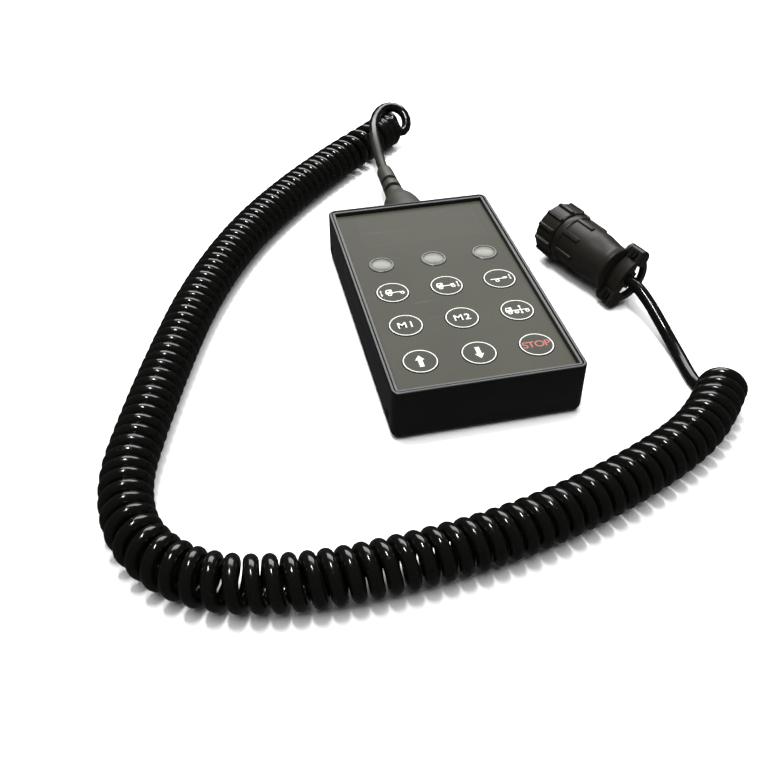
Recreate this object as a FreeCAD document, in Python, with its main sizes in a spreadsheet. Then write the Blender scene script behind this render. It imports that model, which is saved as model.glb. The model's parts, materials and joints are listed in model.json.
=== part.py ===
import FreeCAD, Part
import math
import os
import re

import Sketcher
from FreeCAD import Placement, Rotation, Vector

# Pendant control station: a flat handset with nine keys and three lamps, a curly cord and a
# round quick-connect plug. Millimetres. The origin is the centre of the handset's back,
# +Y runs along the handset to its cable end, +X to the right of the keys, +Z out of the keys.

DRIVING_SIZES = {
    # handset case
    "case_width": 82.0,
    "case_length": 144.0,
    "case_height": 25.0,
    "shell_wall": 2.4,
    "corner_radius": 3.5,
    "base_radius": 3.5,
    "rim_radius": 0.7,
    "lip_width": 1.3,
    "rebate_depth": 7.0,
    "joint_gap": 0.3,
    "frame_wall": 1.6,
    "frame_drop": 0.2,
    "ledge_width": 2.5,
    "ledge_height": 2.0,
    "holder_recess_diameter": 4.4,
    "holder_recess_depth": 1.2,
    "holder_recess_level": 7.5,
    "holder_recess_inset": 9.0,
    # keypad panel
    "face_depth": 2.3,
    "panel_thickness": 1.6,
    "panel_gap": 0.15,
    "gasket_thickness": 0.5,
    "window_width": 60.0,
    "window_length": 25.6,
    "window_depth": 0.4,
    "window_inset": 6.2,
    # keys and lamps
    "grid_shift": 0.6,
    "grid_column": 25.1,
    "grid_row": 25.0,
    "key_row_level": -26.5,
    "lamp_row_level": 21.5,
    "key_diameter": 15.0,
    "key_gap": 0.2,
    "key_proud": 0.35,
    "key_edge": 0.3,
    "key_flange_width": 1.2,
    "key_flange_height": 0.8,
    "key_stem_diameter": 4.0,
    "key_travel": 0.6,
    "stop_gap": 0.05,
    "lens_diameter": 9.9,
    "lens_rise": 0.7,
    "bezel_diameter": 12.3,
    "bezel_wall": 0.5,
    "bezel_proud": 0.5,
    "bezel_below": 0.4,
    "bezel_edge": 0.35,
    "lens_below": 0.2,
    # circuit board
    "board_side_gap": 4.6,
    "board_end_gap": 9.6,
    "wire_room": 5.3,
    "board_thickness": 1.6,
    "board_level": 8.4,
    "board_screw_inset": 4.0,
    "standoff_diameter": 6.5,
    "switch_side": 6.0,
    "switch_height": 3.5,
    "switch_button_height": 1.5,
    "switch_button_radius": 1.7,
    "led_diameter": 5.0,
    "led_height": 7.0,
    "led_flange_width": 0.4,
    "led_flange_height": 1.0,
    # screws
    "case_screw_inset": 6.5,
    "case_screw_radius": 1.5,
    "case_screw_head": 2.8,
    "case_screw_sink": 0.6,
    "case_screw_end": 19.2,
    "boss_radius": 3.6,
    "boss_level": 15.0,
    "small_screw_radius": 1.1,
    "small_screw_head": 2.1,
    "small_screw_grip": 4.5,
    "screw_clearance": 0.2,
    "screw_end_gap": 0.4,
    # cord and strain relief
    "cord_diameter": 5.4,
    "coil_diameter": 20.6,
    "cord_level": 12.5,
    "cord_shift": 1.0,
    "tail_inside": 60.5,
    "boot_length": 59.0,
    "boot_base_radius": 12.0,
    "boot_neck_radius": 4.3,
    "boot_flange_radius": 5.5,
    "boot_flange_height": 1.9,
    "cable_block_width": 22.0,
    "cable_block_length": 5.4,
    "cable_block_inset": 8.0,
    "cable_screw_offset": 7.48,
    "cable_bar_gap": 0.3,
    "cable_bar_wall": 1.6,
    # plug
    "plug_x": 72.5,
    "plug_y": 47.3,
    "plug_level": 14.65,
    "plug_heading": -72.1,
    "clamp_roll": 53.0,
    "ring_length": 11.4,
    "ring_room": 2.3,
    "ring_wall": 1.8,
    "ring_rib_height": 1.15,
    "ring_rib_width": 1.7,
    "ring_rib_count": 12,
    "ring_lug_width": 3.4,
    "ring_lug_height": 1.2,
    "ring_lug_length": 1.8,
    "ring_lug_station": 1.5,
    "ring_lug_count": 3,
    "retainer_thickness": 1.0,
    "retainer_rise": 1.2,
    "seal_thickness": 1.4,
    "ring_lip_length": 1.4,
    "running_gap": 0.3,
    "spigot_radius": 9.3,
    "spigot_wall": 1.3,
    "collar_radius": 12.9,
    "collar_length": 4.0,
    "plug_body_radius": 12.2,
    "barrel_wall": 2.4,
    "plug_rib_height": 0.8,
    "plug_rib_width": 2.2,
    "plug_rib_count": 8,
    "seam_station": 27.0,
    "sleeve_length": 5.0,
    "sleeve_wall": 1.6,
    "backshell_wall": 2.2,
    "waist_radius": 10.8,
    "waist_station": 42.5,
    "clamp_station": 46.5,
    "clamp_length": 8.0,
    "clamp_bore_radius": 4.0,
    "clamp_gap": 0.15,
    "clamp_floor": 0.8,
    "flange_rise": 1.5,
    "tongue_wall": 1.6,
    "bar_height": 3.0,
    "bar_crown": 3.5,
    "screw_head_height": 1.3,
    "screw_slot_width": 0.6,
    "grommet_radius": 6.0,
    "grommet_thickness": 1.4,
    "tail_reach": 5.0,
    "ear_reach": 15.3,
    "ear_radius": 4.0,
    "ear_height": 3.3,
    "bridge_radius": 12.5,
    "bridge_wall": 2.2,
    "bridge_length": 3.0,
    "bridge_shift": 1.8,
    "contact_recess": 2.0,
    "insert_overlap": 3.0,
    "contact_ring_radius": 4.6,
    "contact_radius": 0.95,
    "contact_bore_radius": 0.6,
    "contact_bore_depth": 7.0,
    "contact_tail": 4.0,
    "core_ring_radius": 1.7,
    "wire_radius": 0.55,
}

KEY_NAMES = [
    ["key_raise", "key_lower", "key_stop"],
    ["key_memory_one", "key_memory_two", "key_travel_height"],
    ["key_front_axle", "key_both_axles", "key_rear_axle"],
]
LAMP_SIDES = ["left", "middle", "right"]
CORNERS = [(-1, -1), (1, -1), (1, 1), (-1, 1)]
CONTACTS_ROUND = 6

# What stands on the board: width, length, height, x and inset from the board's far end.
CHIPS = [(10, 10, 1.4, -15, 9), (5, 4, 1.5, 15, 12), (6.5, 6.5, 2.3, 25, 8)]
CAPACITOR = (3.15, 7.7, -26, 9)
CRYSTAL = (11.4, 4.7, 3.5, 13)
HEADER = (16, 6, 6.5, 9)
HOUSING = (14.4, 4, 5, 4, 0.8)

# The cord's routes: the lead out of the handset, the axis of the curly cord, and the lead
# to the plug. Each is a list of points, from the handset to the plug.
HANDSET_LEAD = [(1, 131, 12.5), (1, 139, 12.5), (1.3, 153, 18.5), (5, 169, 21.5), (13, 182.5, 17)]
COIL_AXIS = [
    (24, 193), (8, 178), (-19, 155), (-53, 121), (-84, 82), (-109, 35), (-125, -9), (-138, -50),
    (-147, -84), (-143, -113), (-122, -135), (-88, -142.5), (-50, -141.5), (-12, -137), (24, -127),
    (58, -113.5), (84, -98), (99, -80),
]
PLUG_LEAD = [
    (93.3, -19, 12.6), (94.6, -28, 8.6), (95.5, -40, 4.6), (95.2, -54, 2.8), (93.8, -67, 2.85),
    (94.2, -77, 2.8), (97.5, -84, 2.85),
]

doc = FreeCAD.newDocument("pendant_station")
sheet = doc.addObject("Spreadsheet::Sheet", "Sizes")
nodes = []


# ---------------------------------------------------------------- sizes and expressions
def fill_sheet():
    """Write the driving sizes into the sheet, each with its alias."""
    for row, (name, value) in enumerate(DRIVING_SIZES.items(), start=1):
        sheet.set(f"A{row}", name)
        sheet.set(f"B{row}", str(value))
        sheet.setAlias(f"B{row}", name)
    doc.recompute()


def size(name):
    """The number that the sheet holds under an alias."""
    return float(sheet.get(name))


def cells(formula):
    """A formula in aliases, as FreeCAD's expression on the sheet's cells."""
    return re.sub(r"\b([a-z]+(?:_[a-z]+)+)\b", r"<<Sizes>>.\1", str(formula))


def bind(thing, **formulas):
    """Bind properties of an object to formulas; Base_x stands for Placement.Base.x."""
    for name, formula in formulas.items():
        path = name.replace("Base_", "Placement.Base.")
        thing.setExpression(path, cells(formula))
    return thing


def keep(thing, label):
    """Give a finished sub-part its label and list it for export."""
    thing.Label = label
    nodes.append(thing)
    return thing


# ---------------------------------------------------------------- sketches and features
def origin_item(body, role):
    """One of a body's own origin planes or axes."""
    return next(item for item in body.Origin.OriginFeatures if item.Role == role)


def new_body(label):
    """An empty PartDesign body, listed as a sub-part."""
    return keep(doc.addObject("PartDesign::Body", label), label)


def new_sketch(body, plane="XY_Plane", level=None):
    """A sketch on one of the body's origin planes, lifted along the plane's normal."""
    sketch = body.newObject("Sketcher::SketchObject", "outline")
    sketch.AttachmentSupport = [(origin_item(body, plane), "")]
    sketch.MapMode = "FlatFace"
    if level is not None:
        sketch.setExpression("AttachmentOffset.Base.z", cells(level))
    return sketch


def fix(sketch, kind, formula, *where):
    """Add a dimension to a sketch and bind it to a formula."""
    number = sketch.addConstraint(Sketcher.Constraint(kind, *where, 1.0))
    sketch.setExpression(f"Constraints[{number}]", cells(formula))


def rectangle(sketch, width, length, x="0", y="0"):
    """A rectangle of the given sides, centred on (x, y)."""
    first = sketch.GeometryCount
    corners = [Vector(10 * cx, 10 * cy, 0) for cx, cy in CORNERS]
    sides = [Part.LineSegment(corners[i], corners[(i + 1) % 4]) for i in range(4)]
    sketch.addGeometry(sides, False)
    for i in range(4):
        sketch.addConstraint(Sketcher.Constraint("Coincident", first + i, 2, first + (i + 1) % 4, 1))
        direction = "Horizontal" if i % 2 == 0 else "Vertical"
        sketch.addConstraint(Sketcher.Constraint(direction, first + i))
    fix(sketch, "DistanceX", width, first, 1, first, 2)
    fix(sketch, "DistanceY", length, first + 1, 1, first + 1, 2)
    fix(sketch, "DistanceX", f"{x} - ({width}) / 2", -1, 1, first, 1)
    fix(sketch, "DistanceY", f"{y} - ({length}) / 2", -1, 1, first, 1)


def circle(sketch, x, y, diameter):
    """A circle at (x, y)."""
    number = sketch.GeometryCount
    sketch.addGeometry(Part.Circle(Vector(1, 1, 0), Vector(0, 0, 1), 2), False)
    fix(sketch, "DistanceX", x, -1, 1, number, 3)
    fix(sketch, "DistanceY", y, -1, 1, number, 3)
    fix(sketch, "Diameter", diameter, number)


def polygon(sketch, points):
    """A closed outline of straight sides, each corner bound to its two formulas."""
    first = sketch.GeometryCount
    count = len(points)
    rough = [Vector(10 + 5 * math.cos(i * 6.28 / count), 10 + 5 * math.sin(i * 6.28 / count), 0)
             for i in range(count)]
    sketch.addGeometry([Part.LineSegment(rough[i], rough[(i + 1) % count]) for i in range(count)], False)
    for i in range(count):
        sketch.addConstraint(Sketcher.Constraint("Coincident", first + i, 2, first + (i + 1) % count, 1))
    for i, (x, y) in enumerate(points):
        fix(sketch, "DistanceX", x, -1, 1, first + i, 1)
        fix(sketch, "DistanceY", y, -1, 1, first + i, 1)


def settle(body, made):
    """Recompute, and refuse a feature that came out empty or invalid."""
    doc.recompute()
    good = not made.Shape.isNull() and made.Shape.isValid() and "Invalid" not in made.State
    assert good, f"{made.Name} in {body.Label} failed"
    return made


def feature(body, kind, profile, length, side):
    """Add a pad or a pocket of the given length."""
    made = body.newObject(f"PartDesign::{kind}", kind.lower())
    made.Profile = profile
    made.SideType = side
    bind(made, Length=length)
    profile.Visibility = False
    return settle(body, made)


def pad(body, profile, height):
    """Raise a profile along its plane's normal."""
    return feature(body, "Pad", profile, height, "One side")


def pocket(body, profile, depth):
    """Cut a profile to the given depth, half of it on each side of its plane."""
    before = body.Tip.Shape.Volume
    made = feature(body, "Pocket", profile, depth, "Symmetric")
    assert made.Shape.Volume < before - 1e-6, f"a pocket in {body.Label} cut nothing"
    return made


def turn(body, profile, axis, kind="Revolution"):
    """Turn a profile fully round one of the body's own axes."""
    made = body.newObject(f"PartDesign::{kind}", kind.lower())
    made.Profile = profile
    made.ReferenceAxis = (origin_item(body, axis), [""])
    made.Angle = 360
    return settle(body, made)


def repeat_round(body, original, axis, count):
    """Repeat a feature round an axis of the body."""
    made = body.newObject("PartDesign::PolarPattern", "pattern")
    made.Originals = [original]
    made.Axis = (origin_item(body, axis), [""])
    made.Angle = 360
    bind(made, Occurrences=count)
    body.Tip = made
    return settle(body, made)


def round_edges(body, radius, chosen, kind="Fillet"):
    """Fillet or chamfer the edges of the body's tip that a test picks out."""
    base = body.Tip
    names = [f"Edge{i}" for i, edge in enumerate(base.Shape.Edges, start=1) if chosen(edge)]
    assert names, f"no edge to round in {body.Label}"
    made = body.newObject(f"PartDesign::{kind}", kind.lower())
    made.Base = (base, names)
    bind(made, **{"Radius" if kind == "Fillet" else "Size": radius})
    return settle(body, made)


def upright(edge):
    """Is the edge a straight line along Z?"""
    ends = [vertex.Point for vertex in edge.Vertexes]
    return len(ends) == 2 and abs(abs(ends[0].z - ends[1].z) - edge.Length) < 1e-6 < edge.Length


def at_level(level):
    """A test for edges that lie in the plane z = level."""
    return lambda edge: all(abs(v.Z - level) < 1e-4 for v in edge.Vertexes)


# ---------------------------------------------------------------- Part primitives
def box(width, length, height, x="0", y="0", z="0"):
    """A block centred on x and y that stands on z."""
    block = doc.addObject("Part::Box", "block")
    bind(block, Length=width, Width=length, Height=height)
    return bind(block, Base_x=f"{x} - ({width}) / 2", Base_y=f"{y} - ({length}) / 2", Base_z=z)


def rod(radius, height, x="0", y="0", z="0"):
    """An upright cylinder that stands on z."""
    round_bar = doc.addObject("Part::Cylinder", "round_bar")
    bind(round_bar, Radius=radius, Height=height)
    return bind(round_bar, Base_x=x, Base_y=y, Base_z=z)


def fuse(*pieces):
    """One solid from several that touch."""
    made = doc.addObject("Part::MultiFuse", "fused")
    made.Shapes = list(pieces)
    made.Refine = True
    return made


def cut(base, tool):
    """A solid with another taken out of it."""
    made = doc.addObject("Part::Cut", "cut")
    made.Base, made.Tool = base, tool
    return made


def group(pieces, label):
    """Several separate solids kept as one sub-part."""
    made = doc.addObject("Part::Compound", label)
    made.Links = list(pieces)
    return keep(made, label)


def screw(radius, head_radius, length, x, y, z, up=True):
    """A pan-head screw. z is the underside of its head; the shank points away from the head."""
    head_height = f"({head_radius}) * 0.7"
    if up:
        head = rod(head_radius, head_height, x, y, z)
        shank = rod(radius, f"({length}) + 0.2", x, y, f"({z}) - ({length})")
        slot_level = f"({z}) + ({head_height}) * 0.5"
    else:
        head = rod(head_radius, head_height, x, y, f"({z}) - {head_height}")
        shank = rod(radius, f"({length}) + 0.2", x, y, f"({z}) - 0.2")
        slot_level = f"({z}) - ({head_height}) * 1.5"
    arm = f"({head_radius}) * 1.2"
    cross = fuse(box(arm, "0.6", head_height, x, y, slot_level), box("0.6", arm, head_height, x, y, slot_level))
    return cut(fuse(head, shank), cross)


# ---------------------------------------------------------------- levels shared by the handset
CASE_X = "(case_width / 2 - case_screw_inset)"
CASE_Y = "(case_length / 2 - case_screw_inset)"
FRAME_INSET = "(lip_width + joint_gap)"
OPENING_WIDTH = "(case_width - 2 * lip_width - 2 * joint_gap - 2 * frame_wall)"
OPENING_LENGTH = "(case_length - 2 * lip_width - 2 * joint_gap - 2 * frame_wall)"
FACE = "(case_height - face_depth)"
PANEL_BASE = "(case_height - face_depth - panel_thickness)"
LEDGE_TOP = "(case_height - face_depth - panel_thickness - gasket_thickness)"
BOARD_TOP = "(board_level + board_thickness)"
BLOCK_Y = "(case_length / 2 - cable_block_inset)"
BOARD_WIDTH = "(case_width - 2 * shell_wall - 2 * board_side_gap)"
BOARD_FAR = "(case_length / 2 - cable_block_inset - cable_block_length / 2 - wire_room)"
BOARD_NEAR = "(shell_wall + board_end_gap - case_length / 2)"
BOARD_SCREW_X = f"({BOARD_WIDTH} / 2 - board_screw_inset)"
BOARD_SCREW_Y = "(grid_row / 2 - key_row_level)"
WINDOW_Y = f"({OPENING_LENGTH} / 2 - window_inset - window_length / 2)"
BEZEL_BORE = "(lens_diameter + 2 * bezel_wall)"


def column(index):
    """The x of a key or lamp column, 0 to 2."""
    return f"(grid_shift + grid_column * {index - 1})"


def key_row(index):
    """The y of a key row, 0 to 2 away from the user."""
    return f"(key_row_level + grid_row * {index - 1})"


# ---------------------------------------------------------------- handset case
def make_rear_shell():
    """The deep rear shell: floor and walls, with screw bosses, standoffs and a cable block."""
    body = new_body("rear_shell")
    outline = new_sketch(body)
    rectangle(outline, "case_width", "case_length")
    pad(body, outline, "case_height")
    round_edges(body, "corner_radius", upright)
    round_edges(body, "base_radius", at_level(0.0))
    hollows = [("lip_width", "2 * rebate_depth"), ("shell_wall", "2 * (case_height - shell_wall)")]
    for wall, depth in hollows:
        hollow = new_sketch(body, level="case_height")
        rectangle(hollow, f"case_width - 2 * {wall}", f"case_length - 2 * {wall}")
        pocket(body, hollow, depth)
        corner = size("case_width") / 2 - size(wall)
        round_edges(body, f"corner_radius - {wall}",
                    lambda edge: upright(edge) and abs(abs(edge.Vertexes[0].X) - corner) < 1e-4)
    rim = at_level(size("case_height"))
    side_x, side_y = size("case_width") / 2 - 0.01, size("case_length") / 2 - 0.01
    round_edges(body, "rim_radius",
                lambda edge: rim(edge) and all(abs(v.X) > side_x or abs(v.Y) > side_y for v in edge.Vertexes))

    bosses = new_sketch(body, level="shell_wall - 0.5")
    for side_x, side_y in CORNERS:
        circle(bosses, f"{side_x} * {CASE_X}", f"{side_y} * {CASE_Y}", "2 * boss_radius")
    pad(body, bosses, "boss_level - shell_wall + 0.5")
    standoffs = new_sketch(body, level="shell_wall - 0.5")
    for side_x, side_y in CORNERS:
        circle(standoffs, f"{side_x} * {BOARD_SCREW_X}", f"{side_y} * {BOARD_SCREW_Y}", "standoff_diameter")
    pad(body, standoffs, "board_level - shell_wall + 0.5")
    block = new_sketch(body, level="shell_wall - 0.5")
    rectangle(block, "cable_block_width", "cable_block_length", "cord_shift", BLOCK_Y)
    pad(body, block, "cord_level - shell_wall + 0.5")

    shafts = new_sketch(body)
    counterbores = new_sketch(body)
    for side_x, side_y in CORNERS:
        place = (f"{side_x} * {CASE_X}", f"{side_y} * {CASE_Y}")
        circle(shafts, *place, "2 * case_screw_radius + 0.4")
        circle(counterbores, *place, "2 * case_screw_head + 0.4")
    pocket(body, shafts, "2 * case_height")
    pocket(body, counterbores, "2 * (case_screw_sink + case_screw_head * 0.7)")
    pilots = new_sketch(body, level=BOARD_TOP)
    for side_x, side_y in CORNERS:
        circle(pilots, f"{side_x} * {BOARD_SCREW_X}", f"{side_y} * {BOARD_SCREW_Y}", "2 * small_screw_radius")
    pocket(body, pilots, "2 * (board_thickness + small_screw_grip)")
    clamp_pilots = new_sketch(body, level="cord_level")
    for side_x in (-1, 1):
        circle(clamp_pilots, f"cord_shift + {side_x} * cable_screw_offset", BLOCK_Y,
               "2 * small_screw_radius")
    pocket(body, clamp_pilots, "2 * small_screw_grip")

    cord_hole = new_sketch(body, "XZ_Plane", "-(case_length / 2 - shell_wall / 2)")
    circle(cord_hole, "cord_shift", "cord_level", "2 * boot_neck_radius")
    pocket(body, cord_hole, "2 * shell_wall")
    groove = new_sketch(body, "XZ_Plane", f"-{BLOCK_Y}")
    circle(groove, "cord_shift", "cord_level", "cord_diameter")
    pocket(body, groove, "cable_block_length + 0.5")
    for side in (-1, 1):
        recesses = new_sketch(body, "YZ_Plane", f"{side} * case_width / 2")
        for end in (-1, 1):
            circle(recesses, f"{end} * (case_length / 2 - holder_recess_inset)", "holder_recess_level",
                   "holder_recess_diameter")
        pocket(body, recesses, "2 * holder_recess_depth")
    return body


def make_front_frame():
    """The inner frame: a skirt inside the lip, a ledge for the panel and four screw posts."""
    body = new_body("front_frame")
    skirt = new_sketch(body, level="case_height - rebate_depth + joint_gap")
    rectangle(skirt, f"{OPENING_WIDTH} + 2 * frame_wall", f"{OPENING_LENGTH} + 2 * frame_wall")
    pad(body, skirt, "rebate_depth - joint_gap - frame_drop")
    round_edges(body, f"corner_radius - {FRAME_INSET}", upright)
    round_edges(body, "frame_wall * 0.3", at_level(size("case_height") - size("frame_drop")))
    opening = new_sketch(body, level="case_height")
    rectangle(opening, OPENING_WIDTH, OPENING_LENGTH)
    pocket(body, opening, "4 * case_height")
    inside = size("case_width") / 2 - size("lip_width") - size("joint_gap") - size("frame_wall") + 0.01
    top = size("case_height") - size("frame_drop")
    round_edges(body, "frame_wall * 0.3",
                lambda edge: at_level(top)(edge) and all(
                    abs(v.X) < inside and abs(v.Y) < inside + size("case_length") / 2 - size("case_width") / 2
                    for v in edge.Vertexes))
    ledge = new_sketch(body, level=f"{LEDGE_TOP} - ledge_height")
    rectangle(ledge, f"{OPENING_WIDTH} + frame_wall", f"{OPENING_LENGTH} + frame_wall")
    rectangle(ledge, f"{OPENING_WIDTH} - 2 * ledge_width", f"{OPENING_LENGTH} - 2 * ledge_width")
    pad(body, ledge, "ledge_height")
    posts = new_sketch(body, level="boss_level")
    holes = new_sketch(body, level="boss_level")
    for side_x, side_y in CORNERS:
        circle(posts, f"{side_x} * {CASE_X}", f"{side_y} * {CASE_Y}", "2 * boss_radius")
        circle(holes, f"{side_x} * {CASE_X}", f"{side_y} * {CASE_Y}", "2 * case_screw_radius")
    pad(body, posts, f"{LEDGE_TOP} - boss_level")
    pocket(body, holes, "2 * (case_screw_end - boss_level)")
    return body


def make_panel():
    """The keypad panel, with holes for keys and lamps and a sunk place for the window."""
    body = new_body("keypad_panel")
    plate = new_sketch(body, level=PANEL_BASE)
    rectangle(plate, f"{OPENING_WIDTH} - 2 * panel_gap", f"{OPENING_LENGTH} - 2 * panel_gap")
    pad(body, plate, "panel_thickness")
    holes = new_sketch(body, level=FACE)
    for across in range(3):
        for along in range(3):
            circle(holes, column(across), key_row(along), "key_diameter + 2 * key_gap")
        circle(holes, column(across), "lamp_row_level", BEZEL_BORE)
    pocket(body, holes, "4 * panel_thickness")
    sunk = new_sketch(body, level=FACE)
    rectangle(sunk, "window_width", "window_length", "grid_shift", WINDOW_Y)
    pocket(body, sunk, "2 * window_depth")

    pane = new_body("blank_window")
    outline = new_sketch(pane, level=f"{FACE} - window_depth")
    rectangle(outline, "window_width - 2 * panel_gap", "window_length - 2 * panel_gap",
              "grid_shift", WINDOW_Y)
    pad(pane, outline, "window_depth")
    round_edges(pane, "0.4", upright)

    gasket = new_body("panel_gasket")
    ring = new_sketch(gasket, level=LEDGE_TOP)
    rectangle(ring, f"{OPENING_WIDTH} - 2 * panel_gap", f"{OPENING_LENGTH} - 2 * panel_gap")
    rectangle(ring, f"{OPENING_WIDTH} - 2 * ledge_width", f"{OPENING_LENGTH} - 2 * ledge_width")
    pad(gasket, ring, "gasket_thickness")


# ---------------------------------------------------------------- keys and lamps
def make_key(label, x, y):
    """One key: a cap with a flange under the panel and a stem over its switch."""
    body = new_body(label)
    body.Placement.Base = Vector(0, 0, 0)
    bind(body, Base_x=x, Base_y=y)
    flange_top = f"{PANEL_BASE} - stop_gap"
    flange_base = f"{flange_top} - key_flange_height"
    stem_base = f"{BOARD_TOP} + switch_height + switch_button_height + key_travel + stop_gap"
    profile = new_sketch(body, "XZ_Plane")
    rim = "key_diameter / 2"
    flange = "key_diameter / 2 + key_gap + key_flange_width"
    polygon(profile, [
        ("0", stem_base),
        ("key_stem_diameter / 2", stem_base),
        ("key_stem_diameter / 2", flange_base),
        (flange, flange_base),
        (flange, flange_top),
        (rim, flange_top),
        (rim, f"{FACE} + key_proud - key_edge"),
        (f"{rim} - key_edge", f"{FACE} + key_proud"),
        ("0", f"{FACE} + key_proud"),
    ])
    turn(body, profile, "Z_Axis")


def make_lamp(side, x):
    """One lamp: a bezel ring through the panel and a domed lens in it."""
    bezel = new_body(f"lamp_bezel_{side}")
    bind(bezel, Base_x=x, Base_y="lamp_row_level")
    ring = new_sketch(bezel, "XZ_Plane")
    bore = "lens_diameter / 2"
    polygon(ring, [
        (bore, f"{PANEL_BASE} - bezel_below"),
        (f"{BEZEL_BORE} / 2", f"{PANEL_BASE} - bezel_below"),
        (f"{BEZEL_BORE} / 2", FACE),
        ("bezel_diameter / 2", FACE),
        ("bezel_diameter / 2", f"{FACE} + bezel_proud * 0.4"),
        ("bezel_diameter / 2 - bezel_edge", f"{FACE} + bezel_proud"),
        (bore, f"{FACE} + bezel_proud"),
    ])
    turn(bezel, ring, "Z_Axis")
    lens = new_body(f"lamp_lens_{side}")
    bind(lens, Base_x=x, Base_y="lamp_row_level")
    dome = new_sketch(lens, "XZ_Plane")
    polygon(dome, [
        ("0", f"{PANEL_BASE} + lens_below"),
        (bore, f"{PANEL_BASE} + lens_below"),
        (bore, f"{FACE} + bezel_proud * 0.4"),
        (f"{bore} - 0.5", f"{FACE} + bezel_proud * 0.4 + lens_rise * 0.4"),
        (f"{bore} - 1.8", f"{FACE} + bezel_proud * 0.4 + lens_rise * 0.8"),
        (f"{bore} - 3.4", f"{FACE} + bezel_proud * 0.4 + lens_rise"),
        ("0", f"{FACE} + bezel_proud * 0.4 + lens_rise"),
    ])
    turn(lens, dome, "Z_Axis")


def make_keys_and_lamps():
    """All nine keys and the three lamps."""
    for along, names in enumerate(KEY_NAMES):
        for across, label in enumerate(names):
            make_key(label, column(across), key_row(along))
    for across, side in enumerate(LAMP_SIDES):
        make_lamp(side, column(across))


# ---------------------------------------------------------------- inside the handset
def make_board():
    """The circuit board on its standoffs, and what is soldered to it."""
    board = new_body("circuit_board")
    outline = new_sketch(board, level="board_level")
    rectangle(outline, BOARD_WIDTH, f"{BOARD_FAR} - {BOARD_NEAR}", y=f"({BOARD_FAR} + {BOARD_NEAR}) / 2")
    for side_x, side_y in CORNERS:
        circle(outline, f"{side_x} * {BOARD_SCREW_X}", f"{side_y} * {BOARD_SCREW_Y}", "2 * small_screw_radius + screw_clearance")
    pad(board, outline, "board_thickness")

    switches = []
    for across in range(3):
        for along in range(3):
            place = (column(across), key_row(along))
            base = box("switch_side", "switch_side", "switch_height", *place, BOARD_TOP)
            button = rod("switch_button_radius", "switch_button_height", *place,
                         f"{BOARD_TOP} + switch_height")
            switches.append(fuse(base, button))
    group(switches, "tactile_switches")

    leds = []
    for across in range(3):
        place = (column(across), "lamp_row_level")
        flange = rod("led_diameter / 2 + led_flange_width", "led_flange_height", *place, BOARD_TOP)
        barrel = rod("led_diameter / 2", "led_height", *place, BOARD_TOP)
        dome = doc.addObject("Part::Sphere", "dome")
        bind(dome, Radius="led_diameter / 2", Base_x=place[0], Base_y=place[1],
             Base_z=f"{BOARD_TOP} + led_height")
        leds.append(fuse(flange, barrel, dome))
    group(leds, "indicator_leds")

    chips = [
        box(str(width), str(length), str(height), str(x), f"{BOARD_FAR} - {inset}", BOARD_TOP)
        for width, length, height, x, inset in CHIPS
    ]
    radius, height, x, inset = CAPACITOR
    chips.append(rod(str(radius), str(height), str(x), f"{BOARD_FAR} - {inset}", BOARD_TOP))
    width, length, height, x = CRYSTAL
    between_rows = "(key_row_level + grid_row + lamp_row_level) / 2"
    chips.append(box(str(width), str(length), str(height), str(x), between_rows, BOARD_TOP))
    group(chips, "board_components")
    screws = [
        screw("small_screw_radius", "small_screw_head", "board_thickness + small_screw_grip - screw_end_gap",
              f"{side_x} * {BOARD_SCREW_X}", f"{side_y} * {BOARD_SCREW_Y}", BOARD_TOP)
        for side_x, side_y in CORNERS
    ]
    group(screws, "board_screws")


def make_case_screws():
    """The four screws that hold the frame to the rear shell, driven from the back."""
    screws = [
        screw("case_screw_radius", "case_screw_head",
              "case_screw_end - case_screw_sink - case_screw_head * 0.7 - 0.3",
              f"{side_x} * {CASE_X}", f"{side_y} * {CASE_Y}",
              "case_screw_sink + case_screw_head * 0.7", up=False)
        for side_x, side_y in CORNERS
    ]
    group(screws, "case_screws")


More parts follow.
